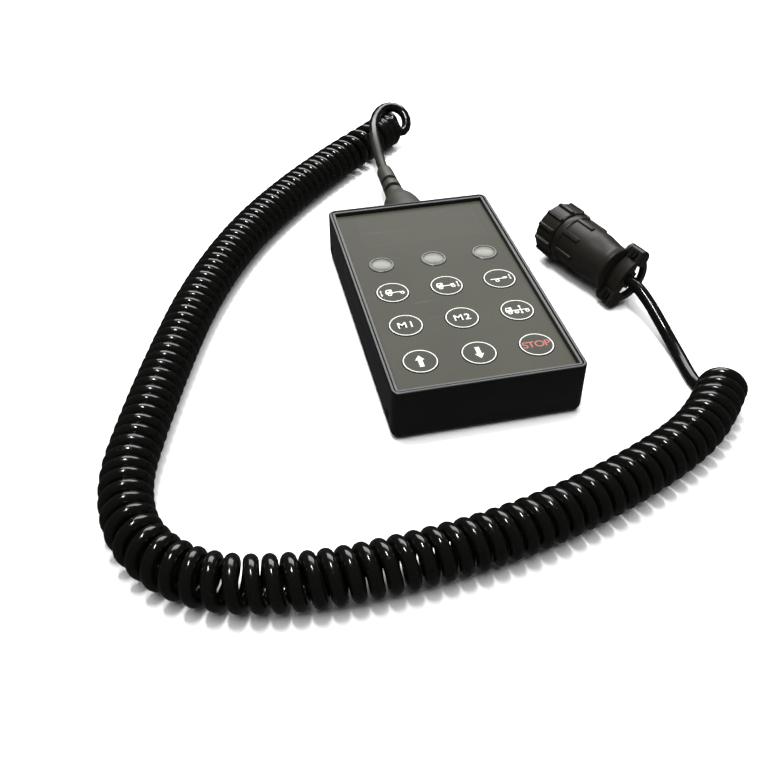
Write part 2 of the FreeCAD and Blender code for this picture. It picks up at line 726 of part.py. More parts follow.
def make_cable_entry():
    """The bar that grips the cable inside, the board's connector and the wires to it."""
    bar = new_body("inner_cable_clamp")
    plate = new_sketch(bar, level="cord_level + cable_bar_gap")
    rectangle(plate, "cable_block_width", "cable_block_length", "cord_shift", BLOCK_Y)
    pad(bar, plate, "cord_diameter / 2 + cable_bar_wall")
    arch = new_sketch(bar, "XZ_Plane", f"-{BLOCK_Y}")
    circle(arch, "cord_shift", "cord_level", "cord_diameter")
    pocket(bar, arch, "cable_block_length + 0.5")
    holes = new_sketch(bar, level="cord_level")
    for side in (-1, 1):
        circle(holes, f"cord_shift + {side} * cable_screw_offset", BLOCK_Y,
               "2 * small_screw_radius + screw_clearance")
    pocket(bar, holes, "4 * cord_diameter")
    head_level = "cord_level + cable_bar_gap + cord_diameter / 2 + cable_bar_wall"
    screws = [
        screw("small_screw_radius", "small_screw_head", "cord_diameter / 2 + cable_bar_gap + cable_bar_wall + small_screw_grip - screw_end_gap",
              f"cord_shift + {side} * cable_screw_offset", BLOCK_Y, head_level)
        for side in (-1, 1)
    ]
    group(screws, "inner_clamp_screws")

    width, length, height, inset = HEADER
    header = box(str(width), str(length), str(height), "cord_shift", f"{BOARD_FAR} - {inset}", BOARD_TOP)
    keep(header, "board_connector")
    width, length, height, inset, lift = HOUSING
    plug = box(str(width), str(length), str(height), "cord_shift", f"{BOARD_FAR} - {inset}",
               f"{BOARD_TOP} + {lift}")
    keep(plug, "wire_housing")

    wires = []
    start_y = size("tail_inside")
    block_y = size("case_length") / 2 - size("cable_block_inset")
    end_y = block_y - size("cable_block_length") / 2 - size("wire_room") - 2
    spread = 2.0
    for index, (dx, dz) in enumerate(contact_places(size("core_ring_radius"))):
        start = Vector(size("cord_shift") + dx, start_y, size("cord_level") + dz)
        end_x = size("cord_shift") + spread * (index - CONTACTS_ROUND / 2)
        end = Vector(end_x, end_y, size("board_level") + size("board_thickness") + 3.3)
        wires.append(Part.makeCylinder(size("wire_radius") - 0.05, (end - start).Length, start, end - start))
    solid_feature("wire_harness", Part.makeCompound(wires))


def contact_places(radius):
    """The places of one middle wire or contact and a ring of six round it."""
    ring = [(radius * math.cos(i * math.tau / CONTACTS_ROUND), radius * math.sin(i * math.tau / CONTACTS_ROUND))
            for i in range(CONTACTS_ROUND)]
    places = ring + [(0.0, 0.0)]
    return sorted(places)


def solid_feature(label, shape, placement=None):
    """A sub-part whose shape is worked out here."""
    made = doc.addObject("Part::Feature", label)
    made.Shape = shape
    if placement is not None:
        made.Placement = placement
    return keep(made, label)


# ---------------------------------------------------------------- strain relief and cord
def make_boot():
    """The tapered boot: a flange inside the wall, a bell outside it and a ribbed sleeve."""
    body = new_body("cable_boot")
    bind(body, Base_x="cord_shift", Base_y="case_length / 2", Base_z="cord_level")
    bore = "cord_diameter / 2"
    sleeve = [
        (0.0, 0.0), (0.02, 0.25), (0.17, 0.85), (0.26, 1.6), (0.33, 3.0), (0.375, 4.6), (0.41, 5.8),
        (0.45, 6.6), (0.5, 7.0), (0.6, 7.15), (0.61, 7.9), (0.655, 7.9), (0.665, 7.2), (0.75, 7.3),
        (0.76, 8.0), (0.805, 8.0), (0.815, 7.4), (0.92, 7.65), (0.955, 8.3),
    ]
    outer = [(f"boot_base_radius - {drop}", f"boot_length * {share}") for share, drop in sleeve]
    profile = new_sketch(body, "XY_Plane")
    polygon(profile, [
        (bore, "-(shell_wall + boot_flange_height)"),
        ("boot_flange_radius", "-(shell_wall + boot_flange_height)"),
        ("boot_flange_radius", "-shell_wall"),
        ("boot_neck_radius", "-shell_wall"),
        ("boot_neck_radius", "0"),
        *outer,
        (f"{bore} + 0.35", "boot_length"),
        (bore, "boot_length"),
    ])
    turn(body, profile, "Y_Axis")


def rounded_path(points, label):
    """Straight runs joined by tangent arcs, each as large as its two runs allow."""
    places = [Vector(*point) for point in points]
    edges = []
    radii = []
    start = places[0]
    for before, corner, after in zip(places, places[1:], places[2:]):
        inward, outward = corner - before, after - corner
        turn_angle = inward.getAngle(outward)
        if turn_angle < 1e-4:
            continue
        reach = 0.45 * min(inward.Length, outward.Length)
        radii.append(reach / math.tan(turn_angle / 2))
        unit_in, unit_out = Vector(inward).normalize(), Vector(outward).normalize()
        first, last = corner - unit_in * reach, corner + unit_out * reach
        to_middle = (unit_out - unit_in).normalize()
        sagitta = radii[-1] * (1 / math.cos(turn_angle / 2) - 1)
        middle = corner + to_middle * sagitta
        edges.append(Part.LineSegment(start, first).toShape())
        edges.append(Part.Arc(first, middle, last).toShape())
        start = last
    edges.append(Part.LineSegment(start, places[-1]).toShape())
    print(label, "arc radii in mm:", ", ".join(f"{radius:.0f}" for radius in radii))
    return Part.Wire(edges)


def tube(points, diameter, label):
    """A round solid along a rounded path, checked against its section times its length."""
    path = rounded_path(points, label)
    heading = Vector(*points[1]) - Vector(*points[0])
    section = Part.Wire(Part.makeCircle(diameter / 2, Vector(*points[0]), heading))
    solid = path.makePipeShell([section], True, True)
    expected = math.pi * diameter ** 2 / 4 * path.Length
    print(f"{label}: {path.Length:.1f} mm long, volume {solid.Volume:.0f} of {expected:.0f} mm3")
    assert abs(solid.Volume / expected - 1) < 0.01, f"{label} has the wrong volume"
    return solid


def make_cord():
    """The two leads and the curly cord's outer shape, and the cable's ends in boot and plug."""
    diameter = size("cord_diameter")
    axis_level = size("coil_diameter") / 2
    coil = tube([(x, y, axis_level) for x, y in COIL_AXIS], size("coil_diameter"), "cord_coil")
    solid_feature("cord_coil", coil)
    handset_lead = tube(HANDSET_LEAD, diameter, "cord_lead_handset")
    solid_feature("cord_lead_handset", one_solid(handset_lead.cut(coil)))

    frame = plug_placement()
    rear = size("clamp_station") + size("clamp_length")
    exit_run = [tuple(frame.multVec(Vector(rear + distance, 0, 0))) for distance in (0, 7)]
    plug_lead = tube(exit_run + PLUG_LEAD, diameter, "cord_lead_plug")
    solid_feature("cord_lead_plug", one_solid(plug_lead.cut(coil)))

    boot_end = size("case_length") / 2 + size("boot_length")
    tail = doc.addObject("Part::Cylinder", "cable_tail")
    tail.Placement.Rotation = Rotation(Vector(1, 0, 0), -90)
    bind(tail, Radius="cord_diameter / 2", Height="case_length / 2 + boot_length - tail_inside",
         Base_x="cord_shift", Base_y="tail_inside", Base_z="cord_level")
    keep(tail, "cable_tail")
    assert abs(boot_end - HANDSET_LEAD[0][1]) < 30, "the lead starts away from its boot"


def one_solid(shape):
    """The largest solid of a shape, which is what a trim leaves of a lead."""
    return max(shape.Solids, key=lambda solid: solid.Volume)


# ---------------------------------------------------------------- plug
def plug_placement(roll=0.0):
    """The plug's own frame: +X runs from its mating face to its cable, +Z is up."""
    place = Placement(Vector(size("plug_x"), size("plug_y"), size("plug_level")),
                      Rotation(Vector(0, 0, 1), size("plug_heading")))
    return place.multiply(Placement(Vector(), Rotation(Vector(1, 0, 0), roll)))


def plug_body(label, roll=0.0):
    """An empty body in the plug's frame."""
    body = new_body(label)
    body.Placement = plug_placement(roll)
    return body


def turned(label, outline, roll=0.0):
    """A plug piece turned about the plug's axis from (station, radius) corners."""
    body = plug_body(label, roll)
    profile = new_sketch(body, "XY_Plane")
    polygon(profile, outline)
    turn(body, profile, "X_Axis")
    return body


COLLAR = "(ring_length + running_gap)"
RING_BORE = "(spigot_radius + ring_room)"
RING_RADIUS = "(spigot_radius + ring_room + ring_wall)"
LIP_FACE = "(ring_length - ring_lip_length - running_gap)"
BARREL_BORE = "(plug_body_radius - barrel_wall)"
BORE = "(spigot_radius - spigot_wall)"
INSERT_BACK = "(ring_length + running_gap + insert_overlap)"


def make_coupling_ring():
    """The ribbed ring that turns on the spigot, with three cam lugs inside its mouth."""
    lip = "spigot_radius + running_gap"
    body = turned("plug_coupling_ring", [
        ("0", f"{RING_BORE} + 0.5"),
        ("0.5", RING_BORE),
        ("ring_length - ring_lip_length", RING_BORE),
        ("ring_length - ring_lip_length", lip),
        ("ring_length", lip),
        ("ring_length", f"{RING_RADIUS} - 0.4"),
        ("ring_length - 0.6", RING_RADIUS),
        ("0.4", RING_RADIUS),
        ("0", f"{RING_RADIUS} - 0.4"),
    ])
    rib = new_sketch(body, "YZ_Plane", "0.2")
    rectangle(rib, "ring_rib_width", "ring_rib_height + 0.6", "0",
              f"{RING_RADIUS} + ring_rib_height / 2 - 0.3")
    raised = pad(body, rib, "ring_length - 0.4")
    repeat_round(body, raised, "X_Axis", "ring_rib_count")
    lug = new_sketch(body, "YZ_Plane", "ring_lug_station")
    rectangle(lug, "ring_lug_width", "ring_lug_height", "0", f"{RING_BORE} - ring_lug_height / 6")
    inner = pad(body, lug, "ring_lug_length")
    repeat_round(body, inner, "X_Axis", "ring_lug_count")


def make_plug_shell():
    """The plug's shell: spigot, collar and ribbed barrel, open to the rear."""
    body = turned("plug_shell", [
        ("1", BORE),
        ("1", "spigot_radius - 0.4"),
        ("1.4", "spigot_radius"),
        (COLLAR, "spigot_radius"),
        (COLLAR, "collar_radius - 0.5"),
        (f"{COLLAR} + 0.5", "collar_radius"),
        (f"{COLLAR} + collar_length - 0.5", "collar_radius"),
        (f"{COLLAR} + collar_length", "plug_body_radius"),
        ("seam_station", "plug_body_radius"),
        ("seam_station", BARREL_BORE),
        (INSERT_BACK, BARREL_BORE),
        (INSERT_BACK, BORE),
    ])
    rib = new_sketch(body, "YZ_Plane", f"{COLLAR} + 1")
    rectangle(rib, "plug_rib_width", "plug_rib_height + 0.8", "0",
              "plug_body_radius + plug_rib_height / 2 - 0.4")
    raised = pad(body, rib, f"seam_station - {COLLAR} - 1.6")
    repeat_round(body, raised, "X_Axis", "plug_rib_count")

    turned("ring_retainer", [
        (f"{LIP_FACE} - retainer_thickness", "spigot_radius"),
        (f"{LIP_FACE} - retainer_thickness", "spigot_radius + retainer_rise"),
        (LIP_FACE, "spigot_radius + retainer_rise"),
        (LIP_FACE, "spigot_radius"),
    ])
    seal = doc.addObject("Part::Torus", "interface_seal")
    bind(seal, Radius1="spigot_radius + seal_thickness / 2", Radius2="seal_thickness / 2")
    seal.Placement = plug_placement().multiply(
        Placement(Vector(size("ring_length") / 2, 0, 0), Rotation(Vector(0, 1, 0), 90)))
    keep(seal, "interface_seal")


def make_contacts():
    """The insulating insert, its seven socket contacts and the wires behind them."""
    front, face_gap = size("contact_recess"), size("running_gap")
    back = size("ring_length") + size("running_gap") + size("insert_overlap")
    insert = turned("contact_insert", [
        ("contact_recess", "0"), ("contact_recess", BORE), (INSERT_BACK, BORE), (INSERT_BACK, "0"),
    ])
    places = contact_places(size("contact_ring_radius"))
    holes = new_sketch(insert, "YZ_Plane", "contact_recess")
    for y, z in places:
        circle(holes, str(round(y, 4)), str(round(z, 4)), "2 * contact_radius")
    pocket(insert, holes, "4 * ring_length")
    along = Vector(1, 0, 0)
    contacts = []
    for y, z in places:
        length = back + size("contact_tail") - front
        barrel = Part.makeCylinder(size("contact_radius"), length, Vector(front + face_gap, y, z), along)
        bore = Part.makeCylinder(size("contact_bore_radius"), size("contact_bore_depth"),
                                 Vector(front, y, z), along)
        contacts.append(barrel.cut(bore))
    solid_feature("contact_sockets", Part.makeCompound(contacts), plug_placement())
    wires = []
    jacket_end = size("waist_station") - size("tail_reach")
    for (y, z), (near_y, near_z) in zip(places, contact_places(size("core_ring_radius"))):
        start = Vector(back + size("contact_tail") + face_gap, y, z)
        end = Vector(jacket_end, near_y, near_z)
        wires.append(Part.makeCylinder(size("wire_radius") - 0.05, (end - start).Length, start, end - start))
    solid_feature("plug_wires", Part.makeCompound(wires), plug_placement())


def make_backshell():
    """The tapered backshell with its clamp: two ears, a saddle tongue and a bridge."""
    wall, bore = size("backshell_wall"), size("clamp_bore_radius")
    floor, gap = size("clamp_floor"), size("clamp_gap")
    station = size("clamp_station")
    length = size("clamp_length")
    ear_x = (station - 1.0, station + length)
    reach, ear_radius, ear_height = size("ear_reach"), size("ear_radius"), size("ear_height")
    along = Vector(1, 0, 0)

    def solid_turned(points):
        corners = [Vector(x, radius, 0) for x, radius in points]
        face = Part.Face(Part.makePolygon(corners + corners[:1]))
        return face.revolve(Vector(), along, 360)

    waist, waist_x = size("waist_radius"), size("waist_station")
    seam, body_radius = size("seam_station"), size("plug_body_radius")
    sleeve_radius = body_radius - size("barrel_wall")
    sleeve_bore = sleeve_radius - size("sleeve_wall")
    sleeve_start = seam - size("sleeve_length")
    flange = waist + size("flange_rise")
    cone = solid_turned([
        (sleeve_start, sleeve_bore), (sleeve_start, sleeve_radius), (seam, sleeve_radius),
        (seam, body_radius), (seam + 4, body_radius - 0.1), (waist_x - 4, waist + 0.25),
        (waist_x, waist), (waist_x + 1.5, waist + 0.3), (station - 1, flange - 0.4),
        (station, flange), (station + floor, flange - 0.4), (station + floor, bore),
        (waist_x, bore), (waist_x, waist - wall), (seam + 2, sleeve_bore),
    ])
    pieces = []
    for side in (-1, 1):
        centre = side * (reach - ear_radius)
        lobe = Part.makeCylinder(ear_radius, ear_x[1] - ear_x[0], Vector(ear_x[0], centre, 0), along)
        pieces.append(lobe)
        lobe_inside = abs(centre) - waist + 3.0
        pieces.append(Part.makeBox(ear_x[1] - ear_x[0], lobe_inside, ear_height + 0.7,
                                   Vector(ear_x[0], min(centre, centre - side * lobe_inside), -ear_height)))
    centre_z = size("bridge_shift")
    outer_radius = size("bridge_radius")
    bridge_length = size("bridge_length")
    bridge_x = station + length - bridge_length
    bridge = Part.makeCylinder(outer_radius, bridge_length, Vector(bridge_x, 0, centre_z), along).cut(
        Part.makeCylinder(outer_radius - size("bridge_wall"), length, Vector(bridge_x, 0, centre_z), along))
    keep_below = Part.makeBox(100, 100, 50, Vector(0, -50, -50))
    pieces.append(bridge.common(keep_below))
    cord_radius = size("cord_diameter") / 2
    tongue_width = 2 * (cord_radius + size("tongue_wall"))
    pieces.append(Part.makeBox(length - 1.5 * floor, tongue_width, ear_height - gap,
                               Vector(station + floor, -tongue_width / 2, -ear_height)))
    clamp = pieces[0].multiFuse(pieces[1:])
    above = Part.makeBox(length + 2, 2 * reach + 2, 20, Vector(station + floor, -reach - 1, -gap))
    shell = cone.fuse(clamp.cut(above))
    shell = shell.cut(Part.makeCylinder(cord_radius, 60, Vector(waist_x, 0, 0), along))
    screw_x = station + (length + floor) / 2
    for side in (-1, 1):
        shell = shell.cut(Part.makeCylinder(size("small_screw_radius"), ear_height + 2,
                                            Vector(screw_x, side * (reach - ear_radius), -ear_height + gap),
                                            Vector(0, 0, 1)))
    solid_feature("plug_backshell", shell.removeSplitter(), plug_placement(size("clamp_roll")))

    bar_x = station + floor + gap
    bar_length = length - floor - gap
    bar_height, crown = size("bar_height"), size("bar_crown")
    head_radius, shank_radius = size("small_screw_head"), size("small_screw_radius")
    hole_gap = size("screw_clearance") / 2
    up = Vector(0, 0, 1)
    bar = Part.makeCylinder(outer_radius + crown, bar_length, Vector(bar_x, 0, crown / 2 - outer_radius), along)
    bar = bar.common(Part.makeBox(bar_length, 2 * reach, 4 * bar_height, Vector(bar_x, -reach, gap)))
    for side in (-1, 1):
        centre = side * (reach - ear_radius)
        lobe = Part.makeCylinder(ear_radius, bar_length, Vector(bar_x, centre, 0), along)
        lobe = lobe.common(Part.makeBox(bar_length, 3 * ear_radius, bar_height,
                                        Vector(bar_x, centre - 1.5 * ear_radius, gap)))
        bar = bar.fuse(lobe)
    bar = bar.cut(Part.makeCylinder(cord_radius, 60, Vector(waist_x, 0, 0), along))
    screws = []
    for side in (-1, 1):
        centre = side * (reach - ear_radius)
        foot = Vector(screw_x, centre, 0)
        seat = Vector(screw_x, centre, bar_height)
        bar = bar.cut(Part.makeCylinder(shank_radius + hole_gap, 4 * bar_height, foot, up))
        bar = bar.cut(Part.makeCylinder(head_radius + hole_gap, 4 * bar_height, seat, up))
        head = Part.makeCylinder(head_radius, size("screw_head_height"), seat, up)
        tip = Vector(screw_x, centre, -ear_height + floor)
        shank = Part.makeCylinder(shank_radius, bar_height + ear_height - floor, tip, up)
        slot_width = size("screw_slot_width")
        slot = Part.makeBox(slot_width, 3 * head_radius, slot_width,
                            Vector(screw_x - slot_width / 2, centre - 1.5 * head_radius,
                                   bar_height + size("screw_head_height") - slot_width))
        screws.append(head.fuse(shank).cut(slot))
    roll = plug_placement(size("clamp_roll"))
    solid_feature("clamp_bar", bar.removeSplitter(), roll)
    solid_feature("clamp_screws", Part.makeCompound(screws), roll)

    grommet = turned("cable_grommet", [
        ("waist_station - grommet_thickness", "cord_diameter / 2"),
        ("waist_station - grommet_thickness", "grommet_radius"),
        ("waist_station", "grommet_radius"), ("waist_station", "clamp_bore_radius"),
        ("clamp_station + clamp_floor", "clamp_bore_radius"),
        ("clamp_station + clamp_floor", "cord_diameter / 2"),
    ])
    assert grommet.Shape.isValid()
    tail_start = waist_x - size("tail_reach")
    tail = doc.addObject("Part::Cylinder", "plug_cable_tail")
    bind(tail, Radius="cord_diameter / 2",
         Height="clamp_length + clamp_station - waist_station + tail_reach")
    tail.Placement = plug_placement().multiply(
        Placement(Vector(tail_start, 0, 0), Rotation(Vector(0, 1, 0), 90)))
    keep(tail, "plug_cable_tail")


# ---------------------------------------------------------------- the whole model
def check_and_export():
    """Refuse a failed object or a bad shape, then write one STEP file for each sub-part."""
    doc.recompute()
    for thing in doc.Objects:
        state = set(thing.State) & {"Invalid", "Error"}
        assert not state, f"{thing.Name} ({thing.Label}) is {state}"
    labels = [node.Label for node in nodes]
    assert len(labels) == len(set(labels)) <= 60, "each sub-part needs a label of its own"
    os.makedirs("parts", exist_ok=True)
    for node in nodes:
        shape = node.Shape
        assert not shape.isNull() and shape.isValid() and shape.Solids, f"{node.Label} has a bad shape"
        shape.exportStep(f"parts/{node.Label}.step")
    print(len(nodes), "sub-parts written")


fill_sheet()
make_rear_shell()
make_front_frame()
make_panel()
make_keys_and_lamps()
make_board()
make_case_screws()
make_cable_entry()
make_boot()
make_cord()
make_coupling_ring()
make_plug_shell()
make_contacts()
make_backshell()
check_and_export()
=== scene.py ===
import json
import logging
import math
from dataclasses import dataclass
from enum import Enum
from typing import Any, Optional, Sequence

import bmesh
import bpy
import numpy as np
from mathutils import Matrix, Vector


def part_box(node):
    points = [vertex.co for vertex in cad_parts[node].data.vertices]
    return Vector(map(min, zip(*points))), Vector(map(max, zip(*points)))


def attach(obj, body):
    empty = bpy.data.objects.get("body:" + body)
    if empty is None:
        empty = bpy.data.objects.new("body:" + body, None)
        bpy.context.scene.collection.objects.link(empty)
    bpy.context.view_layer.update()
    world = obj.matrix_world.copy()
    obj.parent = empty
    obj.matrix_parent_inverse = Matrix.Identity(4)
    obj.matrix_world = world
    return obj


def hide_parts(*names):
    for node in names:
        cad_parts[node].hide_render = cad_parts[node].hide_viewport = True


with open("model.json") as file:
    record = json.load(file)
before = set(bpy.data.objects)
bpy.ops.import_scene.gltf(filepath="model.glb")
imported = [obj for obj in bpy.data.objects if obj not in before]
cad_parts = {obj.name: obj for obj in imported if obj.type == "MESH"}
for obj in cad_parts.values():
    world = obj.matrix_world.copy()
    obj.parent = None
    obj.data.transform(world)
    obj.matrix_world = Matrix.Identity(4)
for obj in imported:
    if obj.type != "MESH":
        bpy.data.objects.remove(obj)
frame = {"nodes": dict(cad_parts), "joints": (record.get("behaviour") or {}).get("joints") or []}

logging.basicConfig(level=logging.INFO, format="%(message)s")
log = logging.getLogger("pendant")

MM = 0.001
Colour = tuple[float, float, float]


# ------------------------------------------------------------------ names and choices
class Body(Enum):
    """The bodies that a piece can ride on."""

    HANDSET = "handset"
    COUPLING_RING = "coupling_ring"


class Slot(Enum):
    """The names of material slots, listed beside the clamp's pieces."""

    CASE = "case_plastic"
    WINDOW = "window_gloss"
    KEY = "key_plastic"
    BEZEL = "bezel_plastic"
    LENS = "lens_plastic"
    SCREW = "screw_steel"
    BOOT = "boot_rubber"
    CORD = "cord_jacket"
    PLUG = "plug_plastic"


class Lie(Enum):
    """Which way a turned piece's axis lies before the piece is placed."""

    ALONG_X = "x"
    ALONG_Y = "y"
    ALONG_Z = "z"


# ------------------------------------------------------------------ shader expressions
class Signal:
    """A node's output that Python's operators work on: each operation adds a Math node."""

    def __init__(self, nodes: "FinishNodes", socket: bpy.types.NodeSocket) -> None:
        """Wrap one output socket.

        Args:
            nodes: the node tree that new nodes are added to.
            socket: the output socket.
        """
        self.nodes = nodes
        self.socket = socket

    def _math(self, operation: str, first: "Signal | float", second: "Signal | float") -> "Signal":
        """Add one Math node on two values."""
        made = self.nodes.add("ShaderNodeMath", {"operation": operation}, [first, second])
        return Signal(self.nodes, made.outputs[0])

    def __add__(self, other: "Signal | float") -> "Signal":
        """self + other."""
        return self._math("ADD", self, other)

    def __radd__(self, other: "Signal | float") -> "Signal":
        """other + self."""
        return self._math("ADD", other, self)

    def __sub__(self, other: "Signal | float") -> "Signal":
        """self - other."""
        return self._math("SUBTRACT", self, other)

    def __rsub__(self, other: "Signal | float") -> "Signal":
        """other - self."""
        return self._math("SUBTRACT", other, self)

    def __mul__(self, other: "Signal | float") -> "Signal":
        """self * other."""
        return self._math("MULTIPLY", self, other)

    def __rmul__(self, other: "Signal | float") -> "Signal":
        """other * self."""
        return self._math("MULTIPLY", other, self)

    def __truediv__(self, other: "Signal | float") -> "Signal":
        """self / other."""
        return self._math("DIVIDE", self, other)

    def __rtruediv__(self, other: "Signal | float") -> "Signal":
        """other / self."""
        return self._math("DIVIDE", other, self)

    def __pow__(self, other: "Signal | float") -> "Signal":
        """self to the power of other."""
        return self._math("POWER", self, other)

    def __rpow__(self, other: "Signal | float") -> "Signal":
        """other to the power of self."""
        return self._math("POWER", other, self)

    def between(self, low: float, high: float) -> "Signal":
        """0 below low, 1 above high, and a smooth step from one to the other.

        Args:
            low: where the step starts.
            high: where the step ends.

        Returns:
            The stepped value.
        """
        made = self.nodes.add(
            "ShaderNodeMapRange",
            {"interpolation_type": "SMOOTHSTEP", "clamp": True},
            {"Value": self, "From Min": low, "From Max": high},
        )
        return Signal(self.nodes, made.outputs["Result"])


class FinishNodes:
    """The node tree of one material, with a Principled shader at its end."""

    def __init__(self, name: str) -> None:
        """Start a material.

        Args:
            name: the material's name.
        """
        self.material = bpy.data.materials.new(name)
        self.material.use_nodes = True
        self.tree = self.material.node_tree
        self.tree.nodes.clear()
        self.shader = self.tree.nodes.new("ShaderNodeBsdfPrincipled")
        output = self.tree.nodes.new("ShaderNodeOutputMaterial")
        self.tree.links.new(self.shader.outputs[0], output.inputs["Surface"])

    def add(self, kind: str, settings: dict[str, Any], values: Any = ()) -> bpy.types.Node:
        """Add a node, with its settings first and then its sockets' values or links.

        Args:
            kind: the node's type.
            settings: property values; "stops" sets a ramp's (place, colour) pairs.
            values: socket values by name or by place.

        Returns:
            The new node.
        """
        node = self.tree.nodes.new(kind)
        for name, value in settings.items():
            if name == "stops":
                self._set_stops(node, value)
            else:
                setattr(node, name, value)
        pairs = values.items() if isinstance(values, dict) else enumerate(values)
        for key, value in pairs:
            self.feed(node.inputs[key], value)
        return node

    @staticmethod
    def _set_stops(node: bpy.types.Node, stops: Sequence[tuple[float, Colour]]) -> None:
        """Replace a ramp's stops.

        Args:
            node: the ramp node.
            stops: (place, colour) pairs, from 0 to 1.
        """
        elements = node.color_ramp.elements
        while len(elements) < len(stops):
            elements.new(1.0)
        for element, (place, colour) in zip(elements, stops):
            element.position = place
            element.color = (*colour, 1.0)

    def feed(self, socket: bpy.types.NodeSocket, value: Any) -> None:
        """Link a signal to a socket, or set the socket's own value.

        Args:
            socket: the input socket.
            value: a signal, a number, a vector or a colour.
        """
        if isinstance(value, Signal):
            self.tree.links.new(value.socket, socket)
        elif isinstance(value, tuple) and len(value) == 3 and socket.type == "RGBA":
            socket.default_value = (*value, 1.0)
        else:
            socket.default_value = value

    def place(self) -> Signal:
        """Object coordinates, in metres."""
        return Signal(self, self.add("ShaderNodeTexCoord", {}).outputs["Object"])

    def noise(
        self, where: Signal, grain: float, detail: float = 2.0, stretch: Optional[Colour] = None
    ) -> Signal:
        """Smooth noise from 0 to 1.

        Args:
            where: the coordinates.
            grain: the size of one grain, in metres.
            detail: how many finer octaves are added.
            stretch: factors on the coordinates, for streaks.

        Returns:
            The noise value.
        """
        if stretch is not None:
            mapped = self.add("ShaderNodeMapping", {}, {"Vector": where, "Scale": stretch})
            where = Signal(self, mapped.outputs[0])
        made = self.add("ShaderNodeTexNoise", {}, {"Vector": where, "Scale": 1.0 / grain, "Detail": detail})
        return Signal(self, made.outputs["Fac"])

    def cells(self, where: Signal, grain: float) -> Signal:
        """Distance to the nearest of many scattered points, for a pebbled grain."""
        made = self.add("ShaderNodeTexVoronoi", {}, {"Vector": where, "Scale": 1.0 / grain})
        return Signal(self, made.outputs["Distance"])

    def axis(self, where: Signal, letter: str) -> Signal:
        """One coordinate of a vector."""
        made = self.add("ShaderNodeSeparateXYZ", {}, [where])
        return Signal(self, made.outputs[letter])

    def mix(self, amount: Signal, first: Any, second: Any) -> Signal:
        """Blend two colours.

        Args:
            amount: 0 gives the first colour and 1 the second.
            first: a colour or a signal.
            second: a colour or a signal.

        Returns:
            The blended colour.
        """
        made = self.add("ShaderNodeMix", {"data_type": "RGBA"})
        self.feed(made.inputs["Factor"], amount)
        self.feed(made.inputs[6], first)
        self.feed(made.inputs[7], second)
        return Signal(self, made.outputs[2])

    def bands(self, amount: Signal, stops: Sequence[tuple[float, Colour]]) -> Signal:
        """A colour ramp in sharp steps.

        Args:
            amount: the place on the ramp, from 0 to 1.
            stops: (place, colour) pairs.

        Returns:
            The colour.
        """
        made = self.add("ShaderNodeValToRGB", {"stops": stops}, [amount])
        made.color_ramp.interpolation = "CONSTANT"
        return Signal(self, made.outputs[0])

    def bump(self, height: Signal, depth: float, strength: float = 1.0) -> Signal:
        """A normal from a height pattern that is depth metres high."""
        made = self.add("ShaderNodeBump", {}, {"Height": height, "Distance": depth, "Strength": strength})
        return Signal(self, made.outputs[0])

    def finish(self, **sockets: Any) -> bpy.types.Material:
        """Feed the shader's sockets.

        Args:
            sockets: values or signals by socket name, with spaces written as underscores.

        Returns:
            The finished material.
        """
        for name, value in sockets.items():
            self.feed(self.shader.inputs[name.replace("_", " ")], value)
        return self.material


def shade(colour: Colour, factor: float) -> Colour:
    """A colour made lighter or darker."""
    return tuple(min(1.0, channel * factor) for channel in colour)


# ------------------------------------------------------------------ finishes
@dataclass(frozen=True)
class Moulded:
    """A moulded plastic or rubber: a fine spark-eroded grain, faint mottling, handling smears and painted
    shade in given bands.
    """

    name: str
    colour: Colour
    roughness: float
    grain: float = 0.00035
    depth: float = 0.000012
    mottle: float = 0.12
    smears: float = 0.10
    specular: float = 0.5
    coat: float = 0.0
    painted_shade_bands: tuple = ()
    broad_size: float = 0.03
    smear_size: float = 0.012
    band_edge: float = 0.3 * MM
    painted_shade_factor: float = 0.12

    def make(self) -> bpy.types.Material:
        """Build the material.

        Returns:
            The material, whose grain is noise over object coordinates. A painted shade band is a pair of
            places along Y between which the colour is darkened, as painted shade.
        """
        nodes = FinishNodes(self.name)
        where = nodes.place()
        fine = nodes.noise(where, self.grain, 3.0)
        broad = nodes.noise(where, self.broad_size, 3.0)
        smear = nodes.noise(where, self.smear_size, 4.0, (1.0, 0.35, 1.0)).between(0.52, 0.72)
        colour = nodes.mix(broad.between(0.3, 0.7), shade(self.colour, 1 - self.mottle),
                           shade(self.colour, 1 + self.mottle))
        along = nodes.axis(where, "Y")
        # painted shade: between each pair of places along Y the colour is darkened by the shade factor
        for low, high in self.painted_shade_bands:
            band = along.between(low, low + self.band_edge) - along.between(high - self.band_edge, high)
            colour = nodes.mix(band, colour, shade(self.colour, self.painted_shade_factor))
        roughness = self.roughness + (fine - 0.5) * 0.12 - smear * self.smears
        return nodes.finish(
            Base_Color=colour, Roughness=roughness, Normal=nodes.bump(fine, self.depth),
            Specular_IOR_Level=self.specular, Coat_Weight=self.coat, Coat_Roughness=0.2,
        )


